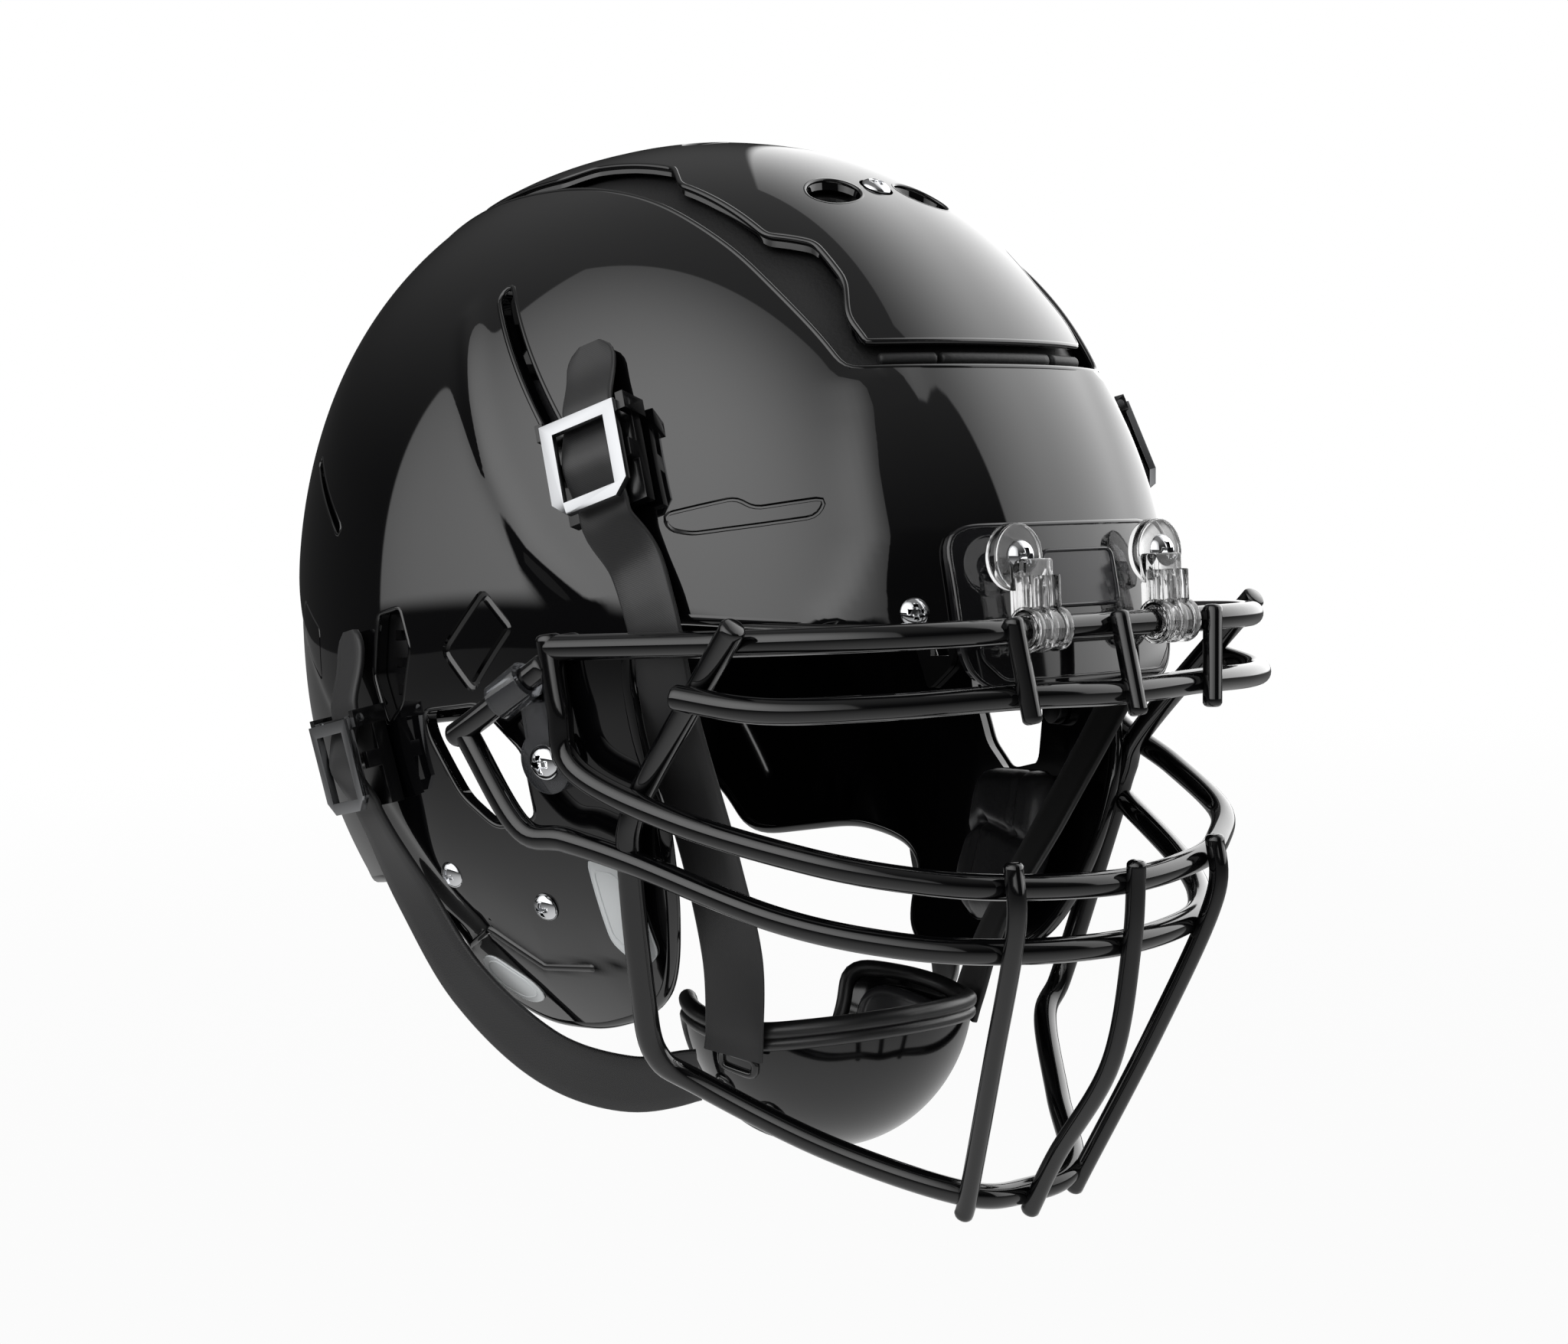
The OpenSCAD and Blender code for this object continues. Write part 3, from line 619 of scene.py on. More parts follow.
def ellipse(c, r, n=40, turn=0):
    a = np.linspace(0, 2 * np.pi, n, endpoint=False)
    p = np.stack([np.cos(a) * r[0], np.sin(a) * r[1]], 1)
    k, s = math.cos(math.radians(turn)), math.sin(math.radians(turn))
    return p @ np.array([[k, s], [-s, k]]) + c


def tube_cut(piece, path, r, closed=True):
    return cut(piece, sweep("groove", path, r, 8, closed=closed, fillet=r * 0.6))


shell = egg_ball("shell_body", 0, 384, 192, True)
recess = prism("recess", recess_plan, 2, RECESS_FLOOR_Z, 220)
cut(recess, egg_ball("recess_floor", -RECESS, 192, 96))
cut(shell, recess)
hollow = egg_ball("hollow", -WALL, 160, 80)
cut(hollow, prism("under_recess", recess_plan * [1.1, 1.06] + [0, -11], 2, RECESS_FLOOR_Z - 8, 220))
cut(hollow, egg_ball("deep", -RECESS - WALL, 160, 80), "UNION")
cut(shell, hollow)
cut(shell, prism("shell_edge", edge_outline, 0, -150, 150), "INTERSECT")
for s in (-1, 1):
    span = sorted((60 * s, 140 * s))
    for outline in (ear_outline, vent_outline, SIDE_SLOT, REAR_SLOT):
        cut(shell, prism("hole", outline, 0, *span))
    for outline, r in ((DIAMOND, 1.5), (BLADE, 0.7), (HEX_MARK, 0.5)):
        path = surface_path(rounded(outline, 2.2), 0, 0.0, s, 1.2)
        tube_cut(shell, path, r)
for c, r in VENTS:
    cut(shell, prism("vent", ellipse(c, (r[0] + 1, r[1] + 1)), 2, 80, 200))
exact_normals(shell, [egg_layer_at(0, 1, True), egg_layer_at(-RECESS, 1),
                      egg_layer_at(-WALL, -1), egg_layer_at(-RECESS - WALL, -1)])


def rim_path():
    """The whole lower edge of the shell, halfway through its wall, as one closed loop."""
    o = resample(edge_outline, 0.08, True)
    p = np.insert(o, 0, 0.0, axis=1)
    inside = depth(p, False) < -WALL / 2
    start = np.nonzero(inside & ~np.roll(inside, 1))[0][0]
    run = np.roll(p, -start, axis=0)[:np.count_nonzero(inside)]
    half = on_axis(run, 0, -WALL / 2)
    whole = resample(np.vstack([half, flip(half[::-1])]), 2.2, True)
    return (np.roll(whole, 1, 0) + 2 * whole + np.roll(whole, -1, 0)) / 4


def recess_path(off):
    """The channel's outer edge: the plan outline, closed at the front by its floor line."""
    o = resample(recess_plan, 1.0, True)
    p = on_axis(np.insert(o, 2, 0.0, axis=1), 2, off)
    up = p[:, 2] > RECESS_FLOOR_Z
    start = np.nonzero(up & ~np.roll(up, 1))[0][0]
    run = np.roll(p, -start, axis=0)[:np.count_nonzero(up)]
    x = np.linspace(run[-1, 0], run[0, 0], 60)
    front = on_axis(np.stack([x, 0 * x, 0 * x + RECESS_FLOOR_Z], 1), 1, off, -1)
    whole = resample(np.vstack([run, front[1:-1]]), 2.0, True)
    for _ in range(2):
        whole = (np.roll(whole, 1, 0) + 2 * whole + np.roll(whole, -1, 0)) / 4
    return whole


trim = [shell, sweep("rim", rim_path(), WALL / 2 + 0.05, 14, closed=True),
        sweep("channel_lip", recess_path(-0.75), 1.05, 12, closed=True)]
for s in (-1, 1):
    for outline, r in ((ear_outline, 0.8), (vent_outline, 0.8), (SIDE_SLOT, 0.9), (REAR_SLOT, 0.6)):
        trim.append(sweep("hole_lip", surface_path(outline, 0, -r * 0.65, s), r, 10, closed=True))
    step_line = resample([(22, -78.5), (4, -71), (-13, -81.5), (-34, -80.5)], 1.5)
    line = on_axis(np.insert(step_line, 0, 0.0, axis=1), 0, -0.9, s, True)
    trim.append(sweep("step_edge", line, 1.5, 10, fillet=0.8))
shell = dress(join("shell_body", trim), SHELL, "helmet", ["shell"])

# The channel's soft floor, and the rubber rolls across its front.
liner = plate_on_shell("crown_gasket_liner", recess_plan * [0.985, 0.993], 2, RECESS_FLOOR_Z + 0.4, 200,
                       -RECESS + 0.05, -RECESS + 1)
for c, r in VENTS:
    cut(liner, prism("vent", ellipse(c, (r[0] + 1, r[1] + 1)), 2, 80, 200))
rolls = []
for x0, x1 in ((-38, -22), (-20.5, 20.5), (22, 38)):
    x = np.linspace(x0, x1, 14)
    path = on_axis(np.stack([x, 0 * x, 0 * x + 85.6], 1), 1, -3.4, -1)
    rolls.append(sweep("roll", path, 1.9, 16, fillet=0.7))
dress(join("crown_gasket_liner", [liner] + rolls), GASKET, "helmet", ["crown_gasket"])

# The floating plate on the crown, with its stepped edge.
PLATE_TOP, PLATE_WALL = 0.2, 3.0
plate = egg_ball("crown_plate_body", PLATE_TOP, 288, 144)
cut(plate, prism("plate_outline", plate_plan, 2, PLATE_FLOOR_Z, 200), "INTERSECT")
cut(plate, egg_ball("plate_under", PLATE_TOP - PLATE_WALL, 192, 96))
for c, r in VENTS:
    cut(plate, prism("vent", ellipse(c, r), 2, 80, 200))


def place(th, ph, height=0.0):
    """Matrix that stands a piece on the shell, +Z out and +X down; in millimetres."""
    n = normal(egg(th, ph), False)
    side = unit(np.cross([0, 0, 1.0], n)) if abs(n[2]) < 0.999 else np.array([0, 1.0, 0])
    down = np.cross(side, n)
    m = np.eye(4)
    m[:3, 0], m[:3, 1], m[:3, 2], m[:3, 3] = down, side, n, egg(th, ph) + n * height
    return m


def cylinder(name, r, low, high, at=None, sides=48):
    """A cylinder along local Z between two heights, moved by a matrix in millimetres."""
    bpy.ops.object.select_all(action="DESELECT")
    bpy.ops.mesh.primitive_cylinder_add(vertices=sides, radius=r * MM, depth=(high - low) * MM,
                                        location=(0, 0, (high + low) / 2 * MM))
    piece = bpy.context.active_object
    piece.name = name
    return settle(piece, at)


def settle(piece, at=None):
    """Applies a piece's own placing, then a matrix in millimetres, to its mesh."""
    m = piece.matrix_world.copy() if piece.parent else Matrix(piece.matrix_basis)
    piece.data.transform(m)
    piece.matrix_basis = Matrix.Identity(4)
    if at is not None:
        w = np.array(at, float)
        w[:3, 3] *= MM
        piece.data.transform(Matrix(w.tolist()))
        if np.linalg.det(w[:3, :3]) < 0:
            piece.data.flip_normals()
    piece.data.update()
    return piece


def block(name, low, high, at=None):
    bpy.ops.object.select_all(action="DESELECT")
    low, high = np.array(low, float), np.array(high, float)
    bpy.ops.mesh.primitive_cube_add(size=1, location=tuple((low + high) / 2 * MM),
                                    scale=tuple((high - low) * MM))
    piece = bpy.context.active_object
    piece.name = name
    return settle(piece, at)


for th, ph in PLATE_SCREWS:
    cut(plate, cylinder("screw_hole", 5.2, -20, 20, place(th, ph)))
exact_normals(plate, [egg_layer_at(PLATE_TOP, 1), egg_layer_at(PLATE_TOP - PLATE_WALL, -1)])


def plate_path(off):
    o = resample(plate_plan, 0.8, True)
    p = on_axis(np.insert(o, 2, 0.0, axis=1), 2, off)
    up = p[:, 2] > PLATE_FLOOR_Z
    start = np.nonzero(up & ~np.roll(up, 1))[0][0]
    run = np.roll(p, -start, axis=0)[:np.count_nonzero(up)]
    x = np.linspace(run[-1, 0], run[0, 0], 50)
    front = on_axis(np.stack([x, 0 * x, 0 * x + PLATE_FLOOR_Z], 1), 1, off, -1)
    return np.vstack([run, front[1:-1]])


lips = [plate, sweep("plate_lip", plate_path(PLATE_TOP - 0.95), 1.05, 12, closed=True)]
for c, r in VENTS:
    vent_edge = surface_path(ellipse(c, r), 2, PLATE_TOP - 0.6, 1, 1.2, False)
    lips.append(sweep("vent_lip", vent_edge, 0.7, 10, closed=True))
dress(join("crown_plate_body", lips), SHELL, "crown_plate", ["crown_plate"])


# ---- screws -----------------------------------------------------------------------------
def phillips(head_r, head_h, at, cross=True):
    """A domed head with a cross recess, its underside at local z = 0."""
    bpy.ops.object.select_all(action="DESELECT")
    bpy.ops.mesh.primitive_uv_sphere_add(segments=40, ring_count=24, radius=1)
    head = bpy.context.active_object
    head.scale = (head_r * MM, head_r * MM, head_h * 1.15 * MM)
    settle(head)
    cut(head, block("under", (-20, -20, -20), (20, 20, 0.15 * head_h)))
    head.data.transform(Matrix.Translation((0, 0, -0.15 * head_h * MM)))
    if cross:
        w, reach = 0.16 * head_r, 0.5 * head_r
        for a, b in ((w, reach), (reach, w)):
            cut(head, block("cross", (-a, -b, head_h * 0.5), (a, b, head_h * 2)))
    bevel(head, 0.12, 2, 40)
    shade(head, 30)
    return settle(head, at)


def screw_set(name, source, heads):
    pieces = [phillips(*h) for h in heads]
    return dress(join(name, pieces), CHROME, BODY_OF[source], [source])


def mirror_matrix(m):
    return np.diag([-1, 1, 1, 1]) @ m


def facing_front(x, y, z):
    return np.array([[1, 0, 0, x], [0, 0, -1, y], [0, 1, 0, z], [0, 0, 0, 1.0]])


def pair(head_r, head_h, m):
    return [(head_r, head_h, m), (head_r, head_h, mirror_matrix(m))]


screw_set("crown_plate_heads", "crown_plate_screws", [(4.4, 1.9, place(a, b, 0.3)) for a, b in PLATE_SCREWS])
screw_set("top_clip_heads", "top_clip_screws", pair(4.6, 2.9, facing_front(27.4, -151.7, 30.6)))
screw_set("brow_heads", "brow_screws", pair(4.2, 2.5, place(19.9, 4.2, 0.1)))
screw_set("jaw_heads", "jaw_screws",
          pair(4.3, 2.3, place(98.8, -30.5, 0.1)) + pair(4.3, 2.5, place(78.4, -34.8, 0.1)))
screw_set("nape_heads", "nape_bumper_screws", pair(3.8, 2.0, place(170, -2.5, 2.5)))
screw_set("side_clip_heads", "side_clip_screws", pair(5.2, 2.9, place(68.5, -13.1, 4.1)))

# ---- plates, badges and fittings --------------------------------------------------------
BUMPER_T = 3.2
bumper_outline = rounded([(-33, -5), (33, -5), (40, 3), (40, 22), (40, 39), (-40, 39), (-40, 22), (-40, 3)], 9)
bumper = plate_on_shell("brow_bumper_body", bumper_outline, 1, -175, -100, 0.2, 0.2 + BUMPER_T, 0.9)
ledge = plate_on_shell("brow_ledge", rounded([(-30, -2), (30, -2), (36, 4), (36, 9), (-36, 9), (-36, 4)], 2), 1,
                       -175, -100, BUMPER_T, BUMPER_T + 1.4, 0.5)
dress(join("brow_bumper_body", [bumper, ledge]), BUMPER, "helmet", ["brow_bumper"])
plate_edge = box_outline(-13.4, 13.4, 17.1, 31.9, 2.4)
name_plate = plate_on_shell("name_panel", plate_edge, 1, -175, -100, 0.3 + BUMPER_T, 1.0 + BUMPER_T)
panel_path = surface_path(plate_edge, 1, 1.0 + BUMPER_T, -1, 1.0, False)
frame_bead = sweep("panel_frame", panel_path, 0.55, 8, closed=True)
dress(join("name_panel", [name_plate, frame_bead]), PLATE, "helmet", ["nameplate"])

JAW_BADGE = [[-47, -48], [-55, -49], [-61, -57], [-60, -75], [-53, -80], [-46, -72]]
MODEL_BADGE = [[16, -82], [9, -79], [-5, -87], [-7, -92], [2, -94], [13, -89]]
for node_name, outline in (("jaw_badges", rounded(JAW_BADGE, 2.2)), ("model_badges", rounded(MODEL_BADGE, 4.5))):
    halves = []
    for s in (-1, 1):
        span = sorted((50 * s, 120 * s))
        halves.append(plate_on_shell(f"{node_name}_{s}", outline, 0, *span, 0.2, 0.9, 0.35))
        ring = (outline - outline.mean(0)) * 0.8 + outline.mean(0)
        halves.append(sweep("badge_line", surface_path(ring, 0, 0.85, s, 1.0, False), 0.28, 6, closed=True))
    dress(join(node_name + "_foil", halves), BADGE, "helmet", [node_name])

nape_outline = rounded([(-34, -8), (34, -8), (34, 2), (28, 8), (-28, 8), (-34, 2)], 4)
dress(plate_on_shell("nape_bumper_body", nape_outline, 1, 90, 180, 0.2, 2.4, 0.8), NYLON, "helmet",
      ["nape_bumper"])
inserts = []
for s in (-1, 1):
    span = sorted((60 * s, 130 * s))
    wide = (vent_outline - [23, 7]) * [1.25, 1.15] + [23, 7]
    piece = plate_on_shell(f"vent_insert_{s}", wide, 0, *span, -WALL - 2.3, -WALL - 0.3)
    for z in (-2, 6, 14):
        cut(piece, block("louvre", (60 if s > 0 else -130, 18, z), (130 if s > 0 else -60, 27, z + 3)))
    inserts.append(piece)
dress(join("rear_vent_louvres", inserts), NYLON, "helmet", ["rear_vent_inserts"])
refine("air_valves", "air_valve_bodies", 0.25, NYLON)
refine("side_clip_nuts", "side_clip_nut_bodies", 0.3, NYLON)
refine("snap_studs", "snap_stud_bodies", 0.2, CHROME)


# ---- face guard -------------------------------------------------------------------------
WIRE, THIN = 7.1, 5.4
BAR_Y, BAR_Z, BAR_HALF, ARC_R, ARC_TURN = -156, 11.3, 36, 63, 79
CORNER = [108.5, -50, 15]


def wire(path, step=2.0):
    return resample(smooth(path, 12), step)


def top_bar_path():
    arc = [(BAR_HALF + ARC_R * math.sin(a), BAR_Y + ARC_R * (1 - math.cos(a)), BAR_Z)
           for a in np.radians(np.linspace(0, ARC_TURN, 30))]
    end = np.array([CORNER[0], CORNER[1], BAR_Z])
    run = [arc[-1] + (end - arc[-1]) * t for t in np.linspace(0.1, 1, 12)]
    half = np.vstack([[(x, BAR_Y, BAR_Z) for x in np.linspace(0, BAR_HALF - 1, 12)], arc, run])
    return np.vstack([flip(half[::-1]), half[1:]])


BROW_BAR = [[106, -101, -2], [96, -126, -6], [70, -144.5, -6.5], [35, -156, -6], [0, -161, -6.7]]
UPPER_MOUTH = [CORNER, [108, -53, -5], [106.5, -57, -22], [98, -89, -35.5], [80, -123, -46.5],
               [60, -140, -52.5], [38, -151, -56], [0, -158, -58]]
LOWER_MOUTH = [[116.5, -19, -11], [111, -36, -38], [106, -51, -41.5], [97, -70, -48], [80, -107, -62.5],
               [60, -132, -70], [36, -148, -73.5], [0, -155, -75]]
CHIN_WIRE = [[101.5, -122, 16], [97.5, -78.5, -24], [98, -69.5, -37], [95.8, -65.5, -50], [87, -57, -85],
             [80.5, -53.5, -104], [69, -58, -113.5], [46, -85, -132], [22, -113, -145], [0, -115.5, -148]]
STUB = [[109.5, -50, 7], [115.5, -29, -6], [117.5, -15, -13]]
BROW_STRUTS = [[[0, -160.5, 15], [0, -166.3, -13]], [[39, -159.5, 15], [35, -161.5, -13]]]
FRONT_WIRES = [[[0, -163.5, -52], [0, -160.5, -75], [0, -151, -108], [0, -129, -136], [0, -117, -154]],
               [[39.5, -156.5, -49], [39, -156, -67], [32, -138, -105], [23, -117, -145], [22, -113, -152]]]


def guard(name, source, paths, radius, sides=24):
    pieces = [sweep(f"{name}_{i}", p, radius, sides, fillet=1.0) for i, p in enumerate(paths)]
    return dress(join(name, pieces), VINYL, "face_guard", [source])


guard("top_bar_wire", "guard_top_bar", [resample(top_bar_path(), 2.0)], WIRE / 2)
guard("brow_bar_wire", "guard_brow_bar", [wire(mirrored(BROW_BAR))], WIRE / 2)
guard("upper_mouth_wire", "guard_upper_mouth_bar", [wire(mirrored(UPPER_MOUTH))], WIRE / 2)
guard("lower_mouth_wire", "guard_lower_mouth_bar", [wire(mirrored(LOWER_MOUTH))], WIRE / 2)
guard("chin_wire_loop", "guard_chin_wire", [wire(mirrored(CHIN_WIRE))], WIRE / 2)
guard("brow_strut_wires", "guard_brow_struts",
      [wire(p) for p in (BROW_STRUTS[0], BROW_STRUTS[1], flip(BROW_STRUTS[1]))], THIN / 2, 20)
guard("front_wire_set", "guard_front_wires",
      [wire(p) for p in (FRONT_WIRES[0], FRONT_WIRES[1], flip(FRONT_WIRES[1]))], THIN / 2, 20)
guard("side_stub_wires", "guard_side_stubs", [wire(STUB), wire(flip(STUB))], WIRE / 2)


def tube_x(name, r, low, high, y, z, hole=None):
    """A ring or sleeve along X round the top bar."""
    turn = np.array([[0, 0, 1, 0], [1, 0, 0, y], [0, 1, 0, z], [0, 0, 0, 1.0]])
    ring = cylinder(name, r, low, high, turn)
    if hole:
        cut(ring, cylinder("bore", hole, low - 1, high + 1, turn))
    return ring


# Clear clips that hold the top bar: a disc under the screw, a ribbed arm and a ringed sleeve.
CLIP_BORE = (WIRE + 0.7) / 2
for side_name, s in (("left", 1), ("right", -1)):
    seat = facing_front(27.4, -151.5, 30.6)
    disc = cylinder("disc", 9, -4.3, 0, seat)
    bevel(disc, 0.8, 3)
    arm = block("arm", (19.5, -156.2, 13), (31, -150.4, 30))
    bevel(arm, 0.9, 3)
    parts = [disc, arm]
    for x in (19.2, 24.4, 29.6):
        rib = block("rib", (x, -158.2, 14.5), (x + 1.6, -153, 25.5))
        bevel(rib, 0.4, 2)
        parts.append(rib)
    sleeve = tube_x("sleeve", CLIP_BORE + 1.5, 18.6, 31.4, BAR_Y, BAR_Z, CLIP_BORE)
    bevel(sleeve, 0.3, 2)
    parts.append(sleeve)
    for x in (18.6, 24.2, 29.3):
        ring = tube_x("ring", CLIP_BORE + 2.2, x, x + 2.1, BAR_Y, BAR_Z, CLIP_BORE + 0.6)
        bevel(ring, 0.25, 2)
        parts.append(ring)
    clip = join(f"top_clip_{side_name}_body", parts)
    if s < 0:
        settle(clip, np.diag([-1, 1, 1, 1.0]))
    shade(clip, 30)
    dress(clip, CLEAR, BODY_OF[f"top_clip_{side_name}"], [f"top_clip_{side_name}"])
    refine(f"side_clip_{side_name}", f"side_clip_{side_name}_body", 0.45, SMOKE, segments=3)

# ---- buckles ----------------------------------------------------------------------------
UPPER_SEAT, LOWER_SEAT = (53.6, 24.2, -17), (108.5, -12.9, -8)
for which in ("upper", "lower"):
    for side_name in ("left", "right"):
        refine(f"buckle_base_{which}_{side_name}", f"base_{which}_{side_name}", 0.7, BUCKLE,
               segments=3)
        refine(f"buckle_frame_{which}_{side_name}", f"frame_{which}_{side_name}", 0.7, SHADED_FRAME_CHROME,
               segments=3)


def seat_frame(seat):
    th, ph, roll = seat
    n = normal(egg(th, ph), False)
    side = unit(np.cross([0, 0, 1.0], n))
    down = np.cross(side, n)
    c, s = math.cos(math.radians(roll)), math.sin(math.radians(roll))
    return egg(th, ph), down * c + side * s, n


BUCKLE_RUN = [[-38, -1], [-28, 1.8], [-18, 6.7], [-12.5, 7.5], [-6.5, 10], [0, 12], [6.5, 10.2], [12, 7.9],
              [18, 6.6]]


def strap_line(seat, after, facing):
    """The strap's line and facing: over its buckle at the CAD's local places, then on to the cup."""
    origin, along, n = seat_frame(seat)
    run = [origin + along * a + n * h for a, h in BUCKLE_RUN]
    return np.vstack([run, after]), np.vstack([np.tile(n, (len(run), 1)), facing])


UPPER_AFTER = [[96.9, -75.2, 34], [97, -81, 21], [95.4, -82.5, 9], [87, -77, -14], [68, -66, -50],
               [53, -55, -80], [47.4, -47.5, -103], [46.6, -45.5, -110]]
UPPER_FACING = [[0.91, -0.4, 0.1], [0.94, -0.34, 0.1], [0.95, -0.3, 0.1], [0.9, -0.35, 0.3], [0.85, -0.4, 0.4],
                [0.85, -0.5, 0.3], [0.9, -0.4, 0.1], [0.9, -0.4, -0.1]]
LOWER_AFTER = [[104, 30, -62], [96, 16, -88], [81, -1, -110], [62, -15, -119.5], [45, -27, -118]]
LOWER_FACING = [[0.95, -0.1, -0.3], [0.9, -0.25, -0.3], [0.77, -0.51, -0.38], [0.6, -0.72, -0.36],
                [0.9, -0.1, -0.4]]
STRAP_T = 2.0
for which, seat, after, facing, widths, top in (
        ("upper", UPPER_SEAT, UPPER_AFTER, UPPER_FACING, [16] * 9 + [16.5, 16.5, 17] + [19] * 5, 0.044),
        ("lower", LOWER_SEAT, LOWER_AFTER, LOWER_FACING, [16] * 9 + [19] * 5, -0.039)):
    line, out = strap_line(seat, after, facing)
    for side_name, s in (("left", 1), ("right", -1)):
        turned = line if s > 0 else flip(line)
        piece = ribbon(f"webbing_{which}_{side_name}", turned, out if s > 0 else flip(out), widths, STRAP_T,
                       end_round=True)
        piece.data.materials.append(WEBBING)
        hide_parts(f"strap_{which}_{side_name}")
        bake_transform(piece)

# ---- chin cup ---------------------------------------------------------------------------
CUP_AT = np.array([0, -35, -98.0])
CUP_RADII = np.array([46, 41, 47.0])
CUP_WALL = 3.0


def bowl(name, grow, segments=128, rings=96):
    bpy.ops.object.select_all(action="DESELECT")
    bpy.ops.mesh.primitive_uv_sphere_add(segments=segments, ring_count=rings, radius=1)
    ball = bpy.context.active_object
    ball.name = name
    ball.scale = tuple((CUP_RADII + grow) * MM)
    ball.location = tuple(CUP_AT * MM)
    return settle(ball)


def cup_outline(top, back):
    """The cup's side view (y, z), open at the top and at the back."""
    return rounded([(-90, top - 1), (-50, top - 5), (back, top + 2), (back, -120), (back - 18, -150),
                    (-90, -150)], 6)


def cup_region(name, top, back):
    return prism(name, cup_outline(top, back), 0, -60, 60)


def bowl_layer(grow, side):
    r = CUP_RADII + grow
    return (lambda p: (np.linalg.norm((p - CUP_AT) / r, axis=-1) - 1) * 44,
            lambda p: unit((p - CUP_AT) / r ** 2), side)


def on_bowl(points, grow):
    """Points (y, z) of the side view laid on the cup's left wall."""
    q = np.asarray(points, float)
    r = CUP_RADII + grow
    left = 1 - ((q[:, 0] - CUP_AT[1]) / r[1]) ** 2 - ((q[:, 1] - CUP_AT[2]) / r[2]) ** 2
    return np.column_stack([r[0] * np.sqrt(np.clip(left, 0, 1)), q])


def bowl_edge(top, back, grow, step=1.5):
    """Where the side-view region's edge crosses the bowl, all the way round."""
    o = resample(cup_outline(top, back), 0.3, True)
    r = CUP_RADII + grow
    room = 1 - ((o[:, 0] - CUP_AT[1]) / r[1]) ** 2 - ((o[:, 1] - CUP_AT[2]) / r[2]) ** 2
    inside = room > 0
    start = np.nonzero(inside & ~np.roll(inside, 1))[0][0]
    run = np.roll(o, -start, axis=0)[:np.count_nonzero(inside)]
    half = on_bowl(run, grow)
    whole = resample(np.vstack([half, flip(half[::-1])]), step, True)
    return (np.roll(whole, 1, 0) + 2 * whole + np.roll(whole, -1, 0)) / 4


cup = bowl("chin_cup_shell", 0)
cut(cup, bowl("inside", -CUP_WALL))
cut(cup, cup_region("cup_edge", -101, -10), "INTERSECT")
CUP_SLOT = rounded([(-49, -112), (-38, -109), (-36, -114), (-47, -117)], 2)
CUP_VENT = rounded([(-48, -131), (-34, -133), (-33, -128), (-47, -126)], 2.5)
CUP_RING = ellipse((-33, -121), (3, 3))
for s in (-1, 1):
    cut(cup, prism("opening", CUP_VENT, 0, *sorted((5 * s, 60 * s))))
exact_normals(cup, [bowl_layer(0, 1), bowl_layer(-CUP_WALL, -1)])
lips = [cup, sweep("cup_edge_bead", bowl_edge(-101, -10, -CUP_WALL / 2), 1.5, 12, closed=True)]
for s in (-1, 1):
    for outline, r in ((CUP_SLOT, 1.3), (CUP_VENT, 1.0), (CUP_RING, 0.9)):
        path = on_bowl(resample(outline, 1.0, True), 0.1)
        lips.append(sweep("cup_lip", path if s > 0 else flip(path), r, 10, closed=True))
dress(join("chin_cup_shell", lips), CUP, "chin_cup", ["chin_cup"])

rim_line = bowl_edge(-98.8, -7.4, -1.4, 1.8)
lower_line = bowl_edge(-102.6, -11, -0.6, 1.8)
roll = join("cup_rim_roll", [sweep("rim_roll", rim_line, 2.7, 18, closed=True),
                             sweep("rim_band", lower_line, 2.0, 14, closed=True)])
dress(roll, CUP_RUBBER, "chin_cup", ["chin_cup_rim"])

liner = bowl("chin_cup_liner", -CUP_WALL - 0.3)
cut(liner, bowl("liner_inside", -CUP_WALL - 5.5))
cut(liner, cup_region("liner_edge", -106, -16), "INTERSECT")
exact_normals(liner, [bowl_layer(-CUP_WALL - 0.3, 1), bowl_layer(-CUP_WALL - 5.5, -1)])
liner = join("chin_cup_liner", [liner, sweep("liner_edge_roll", bowl_edge(-106, -16, -CUP_WALL - 2.9), 2.7, 16,
                                             closed=True)])
dress(liner, SKIN, "chin_cup", ["chin_cup_pad"])

